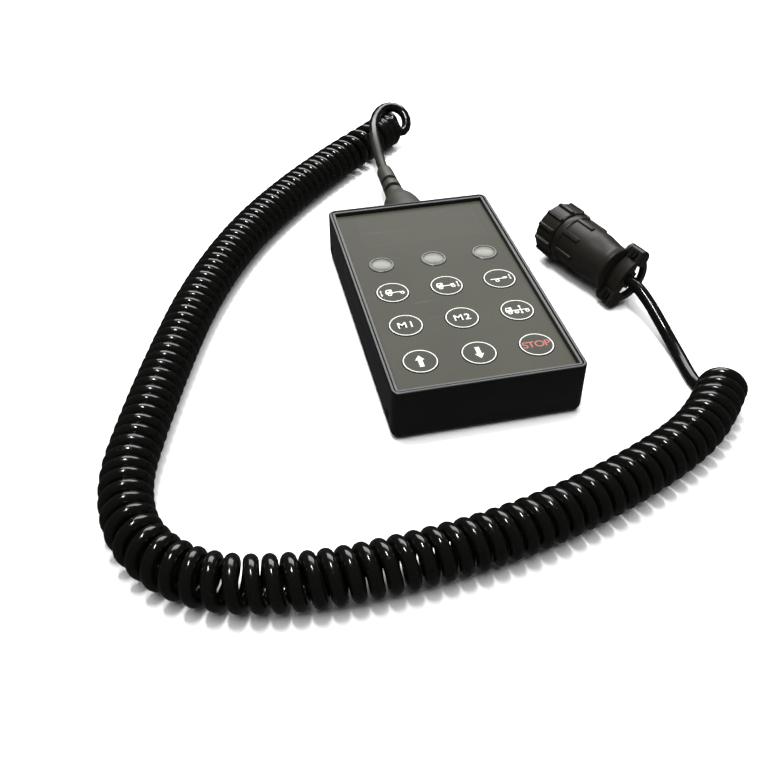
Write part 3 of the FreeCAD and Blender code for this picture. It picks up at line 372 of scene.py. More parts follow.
@dataclass(frozen=True)
class PrintedFilm:
    """The keypad's dark film: a pebbled matt texture with a slight warm cast and a few scuffs."""

    name: str
    colour: Colour
    roughness: float
    pebble: float = 0.00045
    depth: float = 0.00002
    specular: float = 0.15
    cloud_size: float = 0.045
    speck_size: float = 0.0006
    scuff_size: float = 0.006
    scuff_stretch: Colour = (0.25, 2.2, 1.0)

    def make(self) -> bpy.types.Material:
        """Build the material.

        Returns:
            The material, whose pebbles are scattered cells over object coordinates.
        """
        nodes = FinishNodes(self.name)
        where = nodes.place()
        pebbles = nodes.cells(where, self.pebble)
        cloud = nodes.noise(where, self.cloud_size, 2.0)
        speck = nodes.noise(where, self.speck_size, 2.0)
        scuff = nodes.noise(where, self.scuff_size, 5.0, self.scuff_stretch).between(0.64, 0.74)
        base = nodes.mix(cloud.between(0.3, 0.7), shade(self.colour, 0.93), shade(self.colour, 1.07))
        grained = nodes.mix(speck.between(0.35, 0.65) * 0.35, base, shade(self.colour, 1.35))
        roughness = self.roughness - scuff * 0.12 + (pebbles - 0.4) * 0.08
        return nodes.finish(
            Base_Color=grained, Roughness=roughness, Normal=nodes.bump(pebbles, self.depth, 0.5),
            Specular_IOR_Level=self.specular,
        )


@dataclass(frozen=True)
class PrintedInk:
    """Screen-printed ink: an even colour that is a little thin in places."""

    name: str
    colour: Colour
    under: Colour = (0.09, 0.09, 0.085)
    thin: float = 0.18
    blot_size: float = 0.0009

    def make(self) -> bpy.types.Material:
        """Build the material.

        Returns:
            The material, whose thin places let the film's colour through.
        """
        nodes = FinishNodes(self.name)
        where = nodes.place()
        cover = nodes.noise(where, self.blot_size, 4.0).between(0.5, 0.9) * self.thin
        colour = nodes.mix(cover, self.colour, self.under)
        return nodes.finish(Base_Color=colour, Roughness=0.42 + cover, Specular_IOR_Level=0.4)


class Ink(Enum):
    """The inks that the handset is printed with, and a dark one that paints the shadow round the blank
    window.
    """

    WHITE = PrintedInk("white_ink", (0.62, 0.62, 0.57))
    RED = PrintedInk("red_ink", (0.34, 0.06, 0.045))
    # painted shadow: this dark ink draws the shade line round the blank window
    PAINTED_SHADOW = PrintedInk("shadow_ink", (0.005, 0.005, 0.004), under=(0.012, 0.012, 0.010))


@dataclass(frozen=True)
class GlossJacket:
    """The cord's gloss jacket: near black, dusty in patches, and lighter, greyer and rougher on the lead
    next to the boot.

    The lighter stretch lies within reach of lead_side across, and from lead_start to lead_end along.
    """

    name: str
    colour: Colour = (0.0025, 0.0025, 0.0020)
    lead_grey: Colour = (0.020, 0.021, 0.016)
    roughness: float = 0.11
    ripple_size: float = 0.0035
    dust_size: float = 0.0012
    rub_size: float = 0.02
    lead_side: float = 0.0025
    reach: float = 0.0052
    side_fade: float = 0.0016
    lead_start: float = 0.120
    start_fade: float = 0.004
    lead_end: float = 0.152
    end_fade: float = 0.012

    def make(self) -> bpy.types.Material:
        """Build the material.

        Returns:
            The material, whose roughness varies with dust and rubbing.
        """
        nodes = FinishNodes(self.name)
        where = nodes.place()
        ripple = nodes.noise(where, self.ripple_size, 2.0)
        dust = nodes.noise(where, self.dust_size, 5.0).between(0.56, 0.8)
        rub = nodes.noise(where, self.rub_size, 3.0).between(0.4, 0.7)
        across, along = nodes.axis(where, "X") - self.lead_side, nodes.axis(where, "Y")
        beside = (across * across) ** 0.5
        near = 1 - beside.between(self.reach, self.reach + self.side_fade)
        before_end = 1 - along.between(self.lead_end, self.lead_end + self.end_fade)
        past_start = along.between(self.lead_start, self.lead_start + self.start_fade)
        # the stretch of lead next to the boot: a lighter, greyer colour and more roughness
        lead_stretch = near * before_end * past_start
        gloss = nodes.mix(dust * 0.5, self.colour, shade(self.colour, 3.0))
        colour = nodes.mix(lead_stretch * 0.9, gloss, self.lead_grey)
        roughness = self.roughness + dust * 0.16 + rub * 0.08 + lead_stretch * 0.3
        return nodes.finish(
            Base_Color=colour, Roughness=roughness, Normal=nodes.bump(ripple, 0.00006, 0.5),
            Specular_IOR_Level=0.5,
        )


@dataclass(frozen=True)
class LampLens:
    """A pale diffusing lens that is brighter over its middle and greyer at its rim."""

    name: str
    centre: tuple[float, float]
    radius: float
    pale: Colour = (0.17, 0.172, 0.145)
    rim: Colour = (0.10, 0.10, 0.09)
    rim_starts: float = 0.66
    rim_full: float = 0.96
    ripple_size: float = 0.0012

    def make(self) -> bpy.types.Material:
        """Build the material.

        Returns:
            The material; its colour follows the distance from the lens's axis.
        """
        nodes = FinishNodes(self.name)
        where = nodes.place()
        across = nodes.axis(where, "X") - self.centre[0]
        along = nodes.axis(where, "Y") - self.centre[1]
        distance = ((across * across + along * along) ** 0.5) / self.radius
        colour = nodes.mix(distance.between(self.rim_starts, self.rim_full), self.pale, self.rim)
        ripple = nodes.noise(where, self.ripple_size, 2.0)
        return nodes.finish(
            Base_Color=colour, Roughness=0.24 + ripple * 0.1, Normal=nodes.bump(ripple, 0.00003),
            Coat_Weight=0.1, Coat_Roughness=0.2, Specular_IOR_Level=0.2,
        )


@dataclass(frozen=True)
class Metal:
    """A plain metal with fine turning marks and dull patches."""

    name: str
    colour: Colour
    roughness: float = 0.32
    mark_size: float = 0.0004
    patch_size: float = 0.002

    def make(self) -> bpy.types.Material:
        """Build the material.

        Returns:
            The material, whose turning marks are noise that is stretched across Y.
        """
        nodes = FinishNodes(self.name)
        where = nodes.place()
        marks = nodes.noise(where, self.mark_size, 2.0, (1.0, 8.0, 1.0))
        patch = nodes.noise(where, self.patch_size, 3.0).between(0.45, 0.75)
        colour = nodes.mix(patch * 0.5, self.colour, shade(self.colour, 0.6))
        return nodes.finish(
            Base_Color=colour, Metallic=1.0, Roughness=self.roughness + marks * 0.2 + patch * 0.1,
            Normal=nodes.bump(marks, 0.000006),
        )


@dataclass(frozen=True)
class BoardLaminate:
    """Green solder mask with paler tracks that run in steps along the board."""

    name: str
    mask: Colour = (0.010, 0.10, 0.035)
    track: Colour = (0.03, 0.22, 0.08)
    courses: float = 120.0
    track_width: float = 0.03

    def make(self) -> bpy.types.Material:
        """Build the material.

        Returns:
            The material, whose tracks are the joints of a brick pattern.
        """
        nodes = FinishNodes(self.name)
        where = nodes.place()
        sizes = {"Vector": where, "Scale": self.courses, "Mortar Size": self.track_width}
        made = nodes.add("ShaderNodeTexBrick", {}, sizes)
        tracks = Signal(nodes, made.outputs["Fac"])
        return nodes.finish(Base_Color=nodes.mix(tracks, self.mask, self.track),
                            Roughness=0.3 + tracks * 0.15, Normal=nodes.bump(tracks, 0.00003))


@dataclass(frozen=True)
class WireColours:
    """Coloured insulation, one colour after another across the harness."""

    name: str
    low: float
    high: float
    axis: str = "X"
    colours: tuple[Colour, ...] = (
        (0.5, 0.02, 0.02), (0.02, 0.08, 0.45), (0.6, 0.55, 0.05), (0.02, 0.3, 0.06),
        (0.6, 0.6, 0.6), (0.2, 0.07, 0.02), (0.02, 0.02, 0.02),
    )

    def make(self) -> bpy.types.Material:
        """Build the material.

        Returns:
            The material, whose colour steps from low to high along one axis.
        """
        nodes = FinishNodes(self.name)
        where = nodes.place()
        share = (nodes.axis(where, self.axis) - self.low) / (self.high - self.low)
        stops = [(i / len(self.colours), colour) for i, colour in enumerate(self.colours)]
        fine = nodes.noise(where, 0.0006, 2.0)
        return nodes.finish(Base_Color=nodes.bands(share, stops), Roughness=0.35 + fine * 0.15)


@dataclass(frozen=True)
class PaleFloor:
    """A plain pale floor."""

    name: str = "pale_floor"
    colour: Colour = (0.93, 0.93, 0.93)
    cloud_size: float = 0.6

    def make(self) -> bpy.types.Material:
        """Build the material.

        Returns:
            The material, whose colour hardly varies.
        """
        nodes = FinishNodes(self.name)
        cloud = nodes.noise(nodes.place(), self.cloud_size, 1.0)
        colour = nodes.mix(cloud, shade(self.colour, 0.995), self.colour)
        return nodes.finish(Base_Color=colour, Roughness=0.9, Specular_IOR_Level=0.1)


# ------------------------------------------------------------------ surfaces
def unit(vectors: np.ndarray) -> np.ndarray:
    """Vectors made one long, along the last axis."""
    return vectors / np.linalg.norm(vectors, axis=-1, keepdims=True)


def grid_faces(rows: int, columns: int, close_rows: bool, close_columns: bool) -> np.ndarray:
    """The quads of a grid of points, wrapped round where a direction is closed.

    Args:
        rows: how many rows of points.
        columns: how many points in a row.
        close_rows: whether the last row joins the first.
        close_columns: whether each row's last point joins its first.

    Returns:
        An array of four point numbers for each quad.
    """
    i = np.arange(rows if close_rows else rows - 1)[:, None]
    j = np.arange(columns if close_columns else columns - 1)[None, :]
    i_next, j_next = (i + 1) % rows, (j + 1) % columns
    corners = [i * columns + j, i * columns + j_next, i_next * columns + j_next, i_next * columns + j]
    return np.stack(np.broadcast_arrays(*corners), axis=-1).reshape(-1, 4)


def mesh_object(name: str, points: np.ndarray, faces: np.ndarray, sharp: float = 35.0) -> bpy.types.Object:
    """An object from points and quads, with outward normals and smooth shading.

    Args:
        name: the piece's name.
        points: an array of places, in metres.
        faces: an array of point numbers.
        sharp: the angle in degrees past which an edge stays sharp.

    Returns:
        The new object, at the origin.
    """
    mesh = bpy.data.meshes.new(name)
    mesh.from_pydata(points.reshape(-1, 3).tolist(), [], faces.tolist())
    tidy = bmesh.new()
    tidy.from_mesh(mesh)
    bmesh.ops.remove_doubles(tidy, verts=tidy.verts, dist=1e-7)
    bmesh.ops.recalc_face_normals(tidy, faces=tidy.faces)
    tidy.to_mesh(mesh)
    tidy.free()
    mesh.shade_smooth()
    mesh.set_sharp_from_angle(angle=math.radians(sharp))
    piece = bpy.data.objects.new(name, mesh)
    bpy.context.scene.collection.objects.link(piece)
    return piece


def smooth_step(value: np.ndarray, low: float, high: float) -> np.ndarray:
    """0 below low, 1 above high, with a smooth cubic between them."""
    share = np.clip((value - low) / (high - low), 0.0, 1.0)
    return share * share * (3 - 2 * share)


@dataclass
class Turning:
    """A piece turned about an axis, whose outside can carry ribs.

    The surface is r(u, a) = radius(u) + raise(u) * rib(a): u runs round the closed profile and a
    round the axis. A profile corner is (station, radius, share of the rib's height there).
    """

    name: str
    profile: Sequence[tuple[float, float, float]]
    ribs: int = 0
    rib_height: float = 0.0
    rib_width: float = 1.0
    steps: int = 96
    ease: float = 0.25

    def rib(self, angle: np.ndarray) -> np.ndarray:
        """The rib's height round the axis, with eased flanks.

        Args:
            angle: angles round the axis.

        Returns:
            1 on a rib and 0 between two.
        """
        if not self.ribs:
            return np.zeros_like(angle)
        pitch = math.tau / self.ribs
        reach = max(radius for _, radius, _ in self.profile)
        off = np.abs((angle + pitch / 2) % pitch - pitch / 2) * reach
        return 1 - smooth_step(off, self.rib_width / 2 - self.ease, self.rib_width / 2 + self.ease)

    def build(self, place: Matrix, lie: Lie = Lie.ALONG_X, sharp: float = 35.0) -> bpy.types.Object:
        """Make the mesh.

        Args:
            place: the matrix from the piece's own frame, in millimetres, to the object's, in metres.
            lie: the axis that stations run along.
            sharp: the angle past which an edge stays sharp.

        Returns:
            The new object.
        """
        station, radius, raised = (np.array(column, float)[:, None] for column in zip(*self.profile))
        angle = np.linspace(0, math.tau, self.steps, endpoint=False)[None, :]
        out = radius + raised * self.rib_height * self.rib(angle)
        along = np.broadcast_to(station, out.shape)
        across, up = out * np.cos(angle), out * np.sin(angle)
        order = {Lie.ALONG_X: (along, across, up), Lie.ALONG_Y: (across, along, up),
                 Lie.ALONG_Z: (across, up, along)}[lie]
        points = moved(np.stack(order, axis=-1), place)
        faces = grid_faces(len(self.profile), self.steps, True, True)
        return mesh_object(self.name, points, faces, sharp)


def moved(points: np.ndarray, place: Matrix) -> np.ndarray:
    """Points in millimetres turned by a matrix, made metres, and set at the matrix's place."""
    matrix = np.array(place)
    return (points @ matrix[:3, :3].T) * MM + matrix[:3, 3]


def rounded(
    corners: Sequence[tuple[float, float]], radius: float, steps: int = 4
) -> list[tuple[float, float]]:
    """A closed outline with each corner cut back by radius and bent round on a quadratic curve.

    Args:
        corners: the outline's corners.
        radius: how far from each corner the bend starts.
        steps: how many points in a bend.

    Returns:
        The new outline.
    """
    made = []
    count = len(corners)
    most = 0.45  # the share of a side that one bend may take
    for index, corner in enumerate(corners):
        here = np.array(corner, float)
        before, after = np.array(corners[index - 1], float), np.array(corners[(index + 1) % count], float)
        cut_in = min(radius, most * np.linalg.norm(before - here))
        cut_out = min(radius, most * np.linalg.norm(after - here))
        start, end = here + unit(before - here) * cut_in, here + unit(after - here) * cut_out
        for t in np.linspace(0, 1, steps):
            made.append(tuple((1 - t) ** 2 * start + 2 * t * (1 - t) * here + t * t * end))
    return made


def line_of(points: Sequence[Sequence[float]], resolution: int = 24) -> np.ndarray:
    """Points along the smooth NURBS line that has the given control points.

    Args:
        points: control points, in metres.
        resolution: how many steps between two control points.

    Returns:
        The line's points, in order.
    """
    curve = spline_curve("guide", points, resolution)
    guide = bpy.data.objects.new("guide", curve)
    bpy.context.scene.collection.objects.link(guide)
    mesh = bpy.data.meshes.new_from_object(guide)
    line = np.array([vertex.co for vertex in mesh.vertices], float)
    bpy.data.objects.remove(guide)
    bpy.data.meshes.remove(mesh)
    return line


def spline_curve(name: str, points: Sequence[Sequence[float]], resolution: int) -> bpy.types.Curve:
    """A curve of one open NURBS spline of order 3 that starts and ends at its end points.

    Args:
        name: the curve's name.
        points: control points, in metres.
        resolution: how many steps between two control points.

    Returns:
        The curve.
    """
    curve = bpy.data.curves.new(name, "CURVE")
    curve.dimensions = "3D"
    spline = curve.splines.new("NURBS")
    spline.points.add(len(points) - 1)
    spline.points.foreach_set("co", np.c_[np.array(points, float), np.ones(len(points))].ravel())
    spline.order_u = 3
    spline.use_endpoint_u = True
    spline.resolution_u = resolution
    return curve


def eased_copy(node: str, name: str, radius: float, sharp: float = 30.0) -> bpy.types.Object:
    """A merged copy of a CAD node with its sharp edges eased by a small bevel.

    Args:
        node: the CAD node that the copy stands for.
        name: the new piece's name.
        radius: the bevel's width in metres; 0 leaves the edges alone.
        sharp: the angle in degrees past which an edge is an edge.

    Returns:
        The new object, which replaces the node.
    """
    mesh = frame["nodes"][node].data.copy()
    mesh.name = name
    mesh.materials.clear()
    tidy = bmesh.new()
    tidy.from_mesh(mesh)
    bmesh.ops.remove_doubles(tidy, verts=tidy.verts, dist=2e-6)
    bmesh.ops.dissolve_limit(tidy, angle_limit=math.radians(0.5), verts=tidy.verts, edges=tidy.edges)
    tidy.to_mesh(mesh)
    tidy.free()
    mesh.shade_smooth()
    mesh.set_sharp_from_angle(angle=math.radians(sharp))
    piece = bpy.data.objects.new(name, mesh)
    bpy.context.scene.collection.objects.link(piece)
    if radius > 0:
        bevel = piece.modifiers.new("eased_edges", "BEVEL")
        bevel.width = radius
        bevel.segments = 3
        bevel.limit_method = "ANGLE"
        bevel.angle_limit = math.radians(sharp)
        bevel.harden_normals = True
    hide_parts(node)
    return piece


def dress(
    piece: bpy.types.Object, body: Body | str, finish: bpy.types.Material
) -> bpy.types.Object:
    """Give a new piece its material and the body that it rides on.

    Args:
        piece: the new object.
        body: the body, or a key's own body name.
        finish: the material.

    Returns:
        The same object.
    """
    piece.data.materials.clear()
    piece.data.materials.append(finish)
    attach(piece, body.value if isinstance(body, Body) else body)
    log.info("made %s", piece.name)
    return piece


def paint(node: str, finish: bpy.types.Material) -> None:
    """Give a CAD node that still shows a better material.

    Args:
        node: the node's name.
        finish: the material.
    """
    materials = frame["nodes"][node].data.materials
    if materials:
        materials[0] = finish
    else:
        materials.append(finish)


# ------------------------------------------------------------------ studio
@dataclass(frozen=True)
class SoftLight:
    """A rectangular light: its place and aim in metres, its width and height, and its power in watts."""

    name: str
    place: tuple[float, float, float]
    aim: tuple[float, float, float]
    size: tuple[float, float]
    power: float
    glints: bool = True

    def hang(self) -> None:
        """Add the light to the scene; glints says whether glossy surfaces reflect it."""
        data = bpy.data.lights.new(self.name, "AREA")
        data.shape = "RECTANGLE"
        data.size, data.size_y = self.size
        data.energy = self.power
        light = bpy.data.objects.new(self.name, data)
        light.visible_glossy = self.glints
        bpy.context.scene.collection.objects.link(light)
        turn = (Vector(self.aim) - Vector(self.place)).to_track_quat("-Z", "Y").to_matrix()
        light.matrix_world = Matrix.Translation(self.place) @ turn.to_4x4()


@dataclass
class Studio:
    """The camera, the pale floor and the soft lights."""

    position: tuple[float, float, float] = (-0.10453, -0.34129, 0.26814)
    look: tuple[float, float, float] = (0.1664, 0.7400, -0.6517)
    roll: float = -0.10
    lens: float = 44.2
    sensor: float = 36.0
    floor_size: float = 6.0
    world_light: float = 0.06
    lights: tuple[SoftLight, ...] = (
        SoftLight("overhead", (0.0, 0.1, 1.5), (0.0, 0.0, 0.0), (2.2, 2.2), 40.0, glints=False),
        SoftLight("back_window", (0.30, 1.10, 1.00), (0.0, 0.02, 0.0), (1.3, 0.8), 20.0),
        SoftLight("far_lamp", (-0.12, 0.10, 0.95), (0.0, 0.0, 0.0), (0.11, 0.035), 3.0),
        SoftLight("near_lamp", (-0.12, -0.04, 0.95), (0.0, 0.0, 0.0), (0.11, 0.035), 3.0),
    )

    def build(self) -> None:
        """Make the camera, then the floor, the world and the lights."""
        self.make_camera()
        self.make_floor()
        self.make_world()
        for light in self.lights:
            light.hang()
        bpy.context.scene.view_settings.view_transform = "Standard"

    def make_camera(self) -> None:
        """A camera at the viewing place, turned to its look direction."""
        data = bpy.data.cameras.new("camera")
        data.lens = self.lens
        data.sensor_width = self.sensor
        camera = bpy.data.objects.new("camera", data)
        bpy.context.scene.collection.objects.link(camera)
        turn = Vector(self.look).to_track_quat("-Z", "Y").to_matrix()
        camera.matrix_world = (Matrix.Translation(self.position) @ turn.to_4x4()
                               @ Matrix.Rotation(math.radians(self.roll), 4, "Z"))
        bpy.context.scene.camera = camera

    def make_floor(self) -> None:
        """A plain square under everything."""
        half = self.floor_size / 2
        side = np.linspace(-half, half, 3)
        across, along = np.meshgrid(side, side)
        points = np.stack([across, along, np.zeros_like(across)], axis=-1)
        floor = mesh_object("floor", points, grid_faces(3, 3, False, False))
        floor.data.materials.append(PaleFloor().make())
        floor.visible_glossy = False

    def make_world(self) -> None:
        """White behind everything for the camera, and a dim room for every other ray."""
        world = bpy.data.worlds.new("studio")
        world.use_nodes = True
        tree = world.node_tree
        background = tree.nodes["Background"]
        path = tree.nodes.new("ShaderNodeLightPath")
        strength = tree.nodes.new("ShaderNodeMapRange")
        strength.inputs["To Min"].default_value = self.world_light
        strength.inputs["To Max"].default_value = 1.0
        tree.links.new(path.outputs["Is Camera Ray"], strength.inputs["Value"])
        tree.links.new(strength.outputs["Result"], background.inputs["Strength"])
        background.inputs["Color"].default_value = (1.0, 1.0, 1.0, 1.0)
        bpy.context.scene.world = world


# ------------------------------------------------------------------ cord
@dataclass
class CurlyCord:
    """One cable: out of the boot, round an open loop, along the curly part and to the plug.

    The curl winds round the route's NURBS line: place = line(s) + r (cos a * up + sin a * side),
    where side is the line's heading crossed with up and a grows by one turn from mark to mark. A mark
    is (turns so far, distance along the line in millimetres). The places in loop, curl_axis and
    plug_lead are control points in millimetres.
    """

    diameter: float = 5.6 * MM
    curl_radius: float = 7.5 * MM
    points_per_turn: int = 16
    curl_level: float = 10.3
    steps_between: int = 2
    roundness: int = 5
    turn_marks: tuple = (
        (0, 9.0), (1, 14.6), (2, 19.4), (3, 24.2), (4, 31.2), (5, 39.6), (6, 48.3), (7, 55.7), (8, 61.8),
        (9, 67.5), (12, 84.2), (15, 100.5), (20, 127.4), (25, 154.8), (30, 182.4), (35, 209.6),
        (40, 236.8), (45, 264.6), (50, 292.5), (54, 315.6), (57, 333.4), (60, 353.0), (64, 380.6),
        (68, 408.4), (71, 428.3), (75, 453.6), (80, 485.1), (85, 515.8), (90, 547.1), (95, 578.7),
        (100, 609.3), (103, 626.5), (103.5, 628.5),
    )
    loop: tuple = (
        (1, 131, 12.5), (0.9, 138, 13.6), (0.8, 147, 17.6), (1.2, 158, 20.8), (4.4, 173, 22.3),
        (10.6, 186.0, 22.6), (18.0, 191.4, 22.2), (25.0, 189.6, 20.2), (27.4, 183.4, 16.4),
        (25.8, 179.0, 12), (22.0, 178.2, 10.6), (19.4, 180.2, 13.6), (18.6, 184.4, 17.2),
    )
    curl_axis: tuple = (
        (24, 193), (8, 178), (-19, 155), (-53, 121), (-84, 82), (-109, 35), (-125, -9), (-138, -50),
        (-147, -84), (-143, -113), (-122, -135), (-88, -142.5), (-50, -141.5), (-12, -137),
        (24, -127), (58, -113.5), (84, -98), (99, -80),
    )
    plug_lead: tuple = (
        (95.6, -76.8, 2.75), (93.6, -67, 2.85), (95.2, -54, 2.8), (95.5, -40, 4.6),
        (94.4, -28, 8.6), (92.6, -18, 12.6), (90.9, -10.2, 14.65), (89.3, -4.8, 14.65),
        (86.9, 2.6, 14.65),
    )

    def curl(self) -> np.ndarray:
        """The control points of the curl, worked out round its axis line.

        Returns:
            An array of places, in metres.
        """
        axis = line_of([(x * MM, y * MM, self.curl_level * MM) for x, y in self.curl_axis])
        run = np.r_[0, np.cumsum(np.linalg.norm(np.diff(axis, axis=0), axis=1))]
        turns, marks = np.array(self.turn_marks, float).T
        count = round((turns[-1] - turns[0]) * self.points_per_turn) + 1
        turned = np.linspace(turns[0], turns[-1], count) * math.tau
        where = np.interp(turned, turns * math.tau, marks * MM)
        centre = np.stack([np.interp(where, run, axis[:, k]) for k in range(3)], axis=-1)
        heading = np.gradient(axis, run, axis=0)
        heading = unit(np.stack([np.interp(where, run, heading[:, k]) for k in range(3)], axis=-1))
        up = np.array([0.0, 0.0, 1.0])
        side = np.cross(heading, up)
        swing = self.curl_radius / math.cos(math.pi / self.points_per_turn)
        return centre + swing * (np.cos(turned)[:, None] * up + np.sin(turned)[:, None] * side)

    def build(self, with_pieces: Sequence[bpy.types.Object | str]) -> bpy.types.Object:
        """Args:
            with_pieces: the pieces on the cord; not used.

        Returns:
            The cord.
        """
        points = np.concatenate([np.array(self.loop) * MM, self.curl(), np.array(self.plug_lead) * MM])
        curve = spline_curve("curly_cord", points, self.steps_between)
        cord = bpy.data.objects.new("curly_cord", curve)
        bpy.context.scene.collection.objects.link(cord)
        centreline = bpy.data.meshes.new_from_object(cord)
        bpy.data.meshes.remove(centreline)
        curve.bevel_depth = self.diameter / 2
        curve.bevel_resolution = self.roundness
        curve.use_fill_caps = True
        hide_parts("cord_coil", "cord_lead_handset", "cord_lead_plug", "plug_cable_tail")
        dress(cord, Body.HANDSET, GlossJacket("gloss_jacket").make())
        return cord


# ------------------------------------------------------------------ boot
@dataclass
class StrainRelief:
    """The boot: a bell that narrows to a sleeve with two grooves and a tip collar."""

    wall: float = 2.4
    flange: float = 1.9
    bore: float = 2.75
    flange_radius: float = 5.5
    neck_radius: float = 4.3
    easing: float = 0.45
    steps: int = 72
    grooves: tuple = ((31.4, 35.2), (40.7, 44.1))
    outline: tuple = (
        (0, 12), (1.5, 11.95), (5, 11.55), (10, 10.75), (14.5, 10.1), (18, 9.2), (21, 8.1),
        (23.2, 6.9), (25.2, 6.1), (27, 5.7), (30.6, 5.3), (31.4, 5.25), (31.7, 3.5), (34.9, 3.5),
        (35.2, 5.05), (38, 4.95), (40.7, 4.85), (41.0, 3.4), (43.8, 3.4), (44.1, 4.7),
        (51, 4.5), (55.5, 4.4), (57.4, 4.0), (58.9, 3.1),
    )

    def build(self) -> bpy.types.Object:
        """Make the boot in place of its CAD solid.

        Returns:
            The boot.
        """
        low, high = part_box("cable_boot")
        middle = (low + high) / 2
        wall_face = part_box("rear_shell")[1].y
        inner = self.wall + self.flange
        corners = [
            (-inner, self.bore), (-inner, self.flange_radius), (-self.wall, self.flange_radius),
            (-self.wall, self.neck_radius), (0, self.neck_radius), *self.outline,
            (self.outline[-1][0], self.bore),
        ]
        profile = [(s, r, 0.0) for s, r in rounded(corners, self.easing)]
        place = Matrix.Translation((middle.x, wall_face, middle.z))
        boot = Turning("strain_relief_boot", profile, steps=self.steps).build(place, Lie.ALONG_Y, 60.0)
        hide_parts("cable_boot")
        # painted shade: the boot's colour is darkened along its two grooves
        bands = tuple((wall_face + near * MM, wall_face + far * MM) for near, far in self.grooves)
        finish = Moulded("soft_boot_rubber", (0.030, 0.031, 0.024), 0.56, grain=0.0005, painted_shade_bands=bands)
        return dress(boot, Body.HANDSET, finish.make())


# ------------------------------------------------------------------ plug
@dataclass
class Plug:
    """The round plug: a ribbed coupling ring, a ribbed shell and a backshell with a cable clamp."""

    heading: float = -72.1
    ring_length: float = 11.4
    ring_radius: float = 13.4
    ring_bore: float = 11.6
    lip: float = 9.6
    lip_thickness: float = 1.4
    grip_ribs: int = 12
    grip_height: float = 1.15
    grip_width: float = 1.75
    ring_gap: float = 0.3
    spigot: float = 9.3
    spigot_bore: float = 8.0
    collar: float = 12.9
    barrel: float = 12.2
    barrel_wall: float = 2.4
    shell_ribs: int = 8
    shell_rib_height: float = 0.8
    shell_rib_width: float = 2.2
    spigot_start: float = 1.0
    collar_length: float = 4.0
    socket_depth: float = 3.0
    seam: float = 27.0

    def place(self) -> Matrix:
        """The plug's frame, whose X runs from the mating face to the cable."""
        joint = next(j for j in frame["joints"] if j["name"] == "coupling_ring_turn")
        return Matrix.Translation(joint["pos_m"]) @ Matrix.Rotation(math.radians(self.heading), 4, "Z")

    def build(self) -> list[bpy.types.Object | str]:
        """Make and dress every plug piece.

        Returns:
            The pieces that lie on the cord's end.
        """
        nylon = Moulded(
            "plug_nylon", (0.011, 0.0095, 0.0075), 0.40, grain=0.0004, mottle=0.2, specular=0.25,
        ).make()
        pieces = [self.make_ring(nylon), self.make_shell(nylon), *self.make_clamp(nylon)]
        rubber = Moulded("seal_rubber", (0.03, 0.012, 0.008), 0.55).make()
        insert = Moulded("insert_nylon", (0.05, 0.05, 0.05), 0.5, grain=0.0003).make()
        paint("interface_seal", rubber)
        paint("cable_grommet", rubber)
        paint("ring_retainer", nylon)
        paint("contact_insert", insert)
        paint("contact_sockets", Metal("contact_gold", (0.83, 0.62, 0.28), 0.25).make())
        low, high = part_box("plug_wires")
        paint("plug_wires", WireColours("plug_wire_colours", low.x, high.x).make())
        kept = (
            "interface_seal", "cable_grommet", "ring_retainer", "contact_insert", "contact_sockets",
            "plug_wires",
        )
        return pieces + [frame["nodes"][node] for node in kept]

    def make_ring(self, nylon: bpy.types.Material) -> bpy.types.Object:
        """The coupling ring: grip ribs, a rear lip and a chamfered mouth.

        Args:
            nylon: the plug's finish.

        Returns:
            The ring, which rides on its own body.
        """
        length, radius, bore = self.ring_length, self.ring_radius, self.ring_bore
        lip_start = length - self.lip_thickness
        corners = [
            (0.0, bore + 0.4, 0.0), (0.5, bore, 0.0), (lip_start, bore, 0.0),
            (lip_start, self.lip, 0.0), (length, self.lip, 0.0), (length, radius - 0.8, 0.0),
            (length - 0.15, radius - 0.35, 0.0), (length - 0.5, radius - 0.1, 0.35),
            (length - 0.9, radius, 0.85), (length - 1.3, radius, 1.0), (1.2, radius, 1.0),
            (0.6, radius, 0.8), (0.25, radius - 0.1, 0.4), (0.05, radius - 0.35, 0.0),
            (0.0, radius - 0.7, 0.0),
        ]
        ring = Turning(
            "coupling_ring_grip", corners, self.grip_ribs, self.grip_height, self.grip_width,
            steps=288, ease=0.3,
        ).build(self.place())
        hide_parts("plug_coupling_ring")
        return dress(ring, Body.COUPLING_RING, nylon)

    def make_shell(self, nylon: bpy.types.Material) -> bpy.types.Object:
        """The shell: a spigot, a collar and a barrel whose ribs end square.

        Args:
            nylon: the plug's finish.

        Returns:
            The shell.
        """
        front, spigot, collar, barrel, seam = (
            self.spigot_start, self.spigot, self.collar, self.barrel, self.seam)
        start = self.ring_length + self.ring_gap
        end, socket = start + self.collar_length, start + self.socket_depth
        inside = barrel - self.barrel_wall
        corners = [
            (front, self.spigot_bore, 0.0), (front, spigot - 0.4, 0.0), (front + 0.4, spigot, 0.0),
            (start, spigot, 0.0), (start, collar - 0.5, 0.0), (start + 0.15, collar - 0.15, 0.0),
            (start + 0.5, collar, 0.0), (end - 0.5, collar, 0.0), (end - 0.15, collar - 0.15, 0.0),
            (end, barrel + 0.2, 0.6), (end + 0.1, barrel, 1.0), (seam - 1.1, barrel, 1.0),
            (seam - 0.85, barrel, 0.85), (seam - 0.7, barrel, 0.0), (seam, barrel, 0.0),
            (seam, inside, 0.0), (socket, inside, 0.0), (socket, self.spigot_bore, 0.0),
        ]
        shell = Turning(
            "plug_ribbed_shell", corners, self.shell_ribs, self.shell_rib_height, self.shell_rib_width,
            steps=256, ease=0.22,
        ).build(self.place())
        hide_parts("plug_shell")
        return dress(shell, Body.HANDSET, nylon)

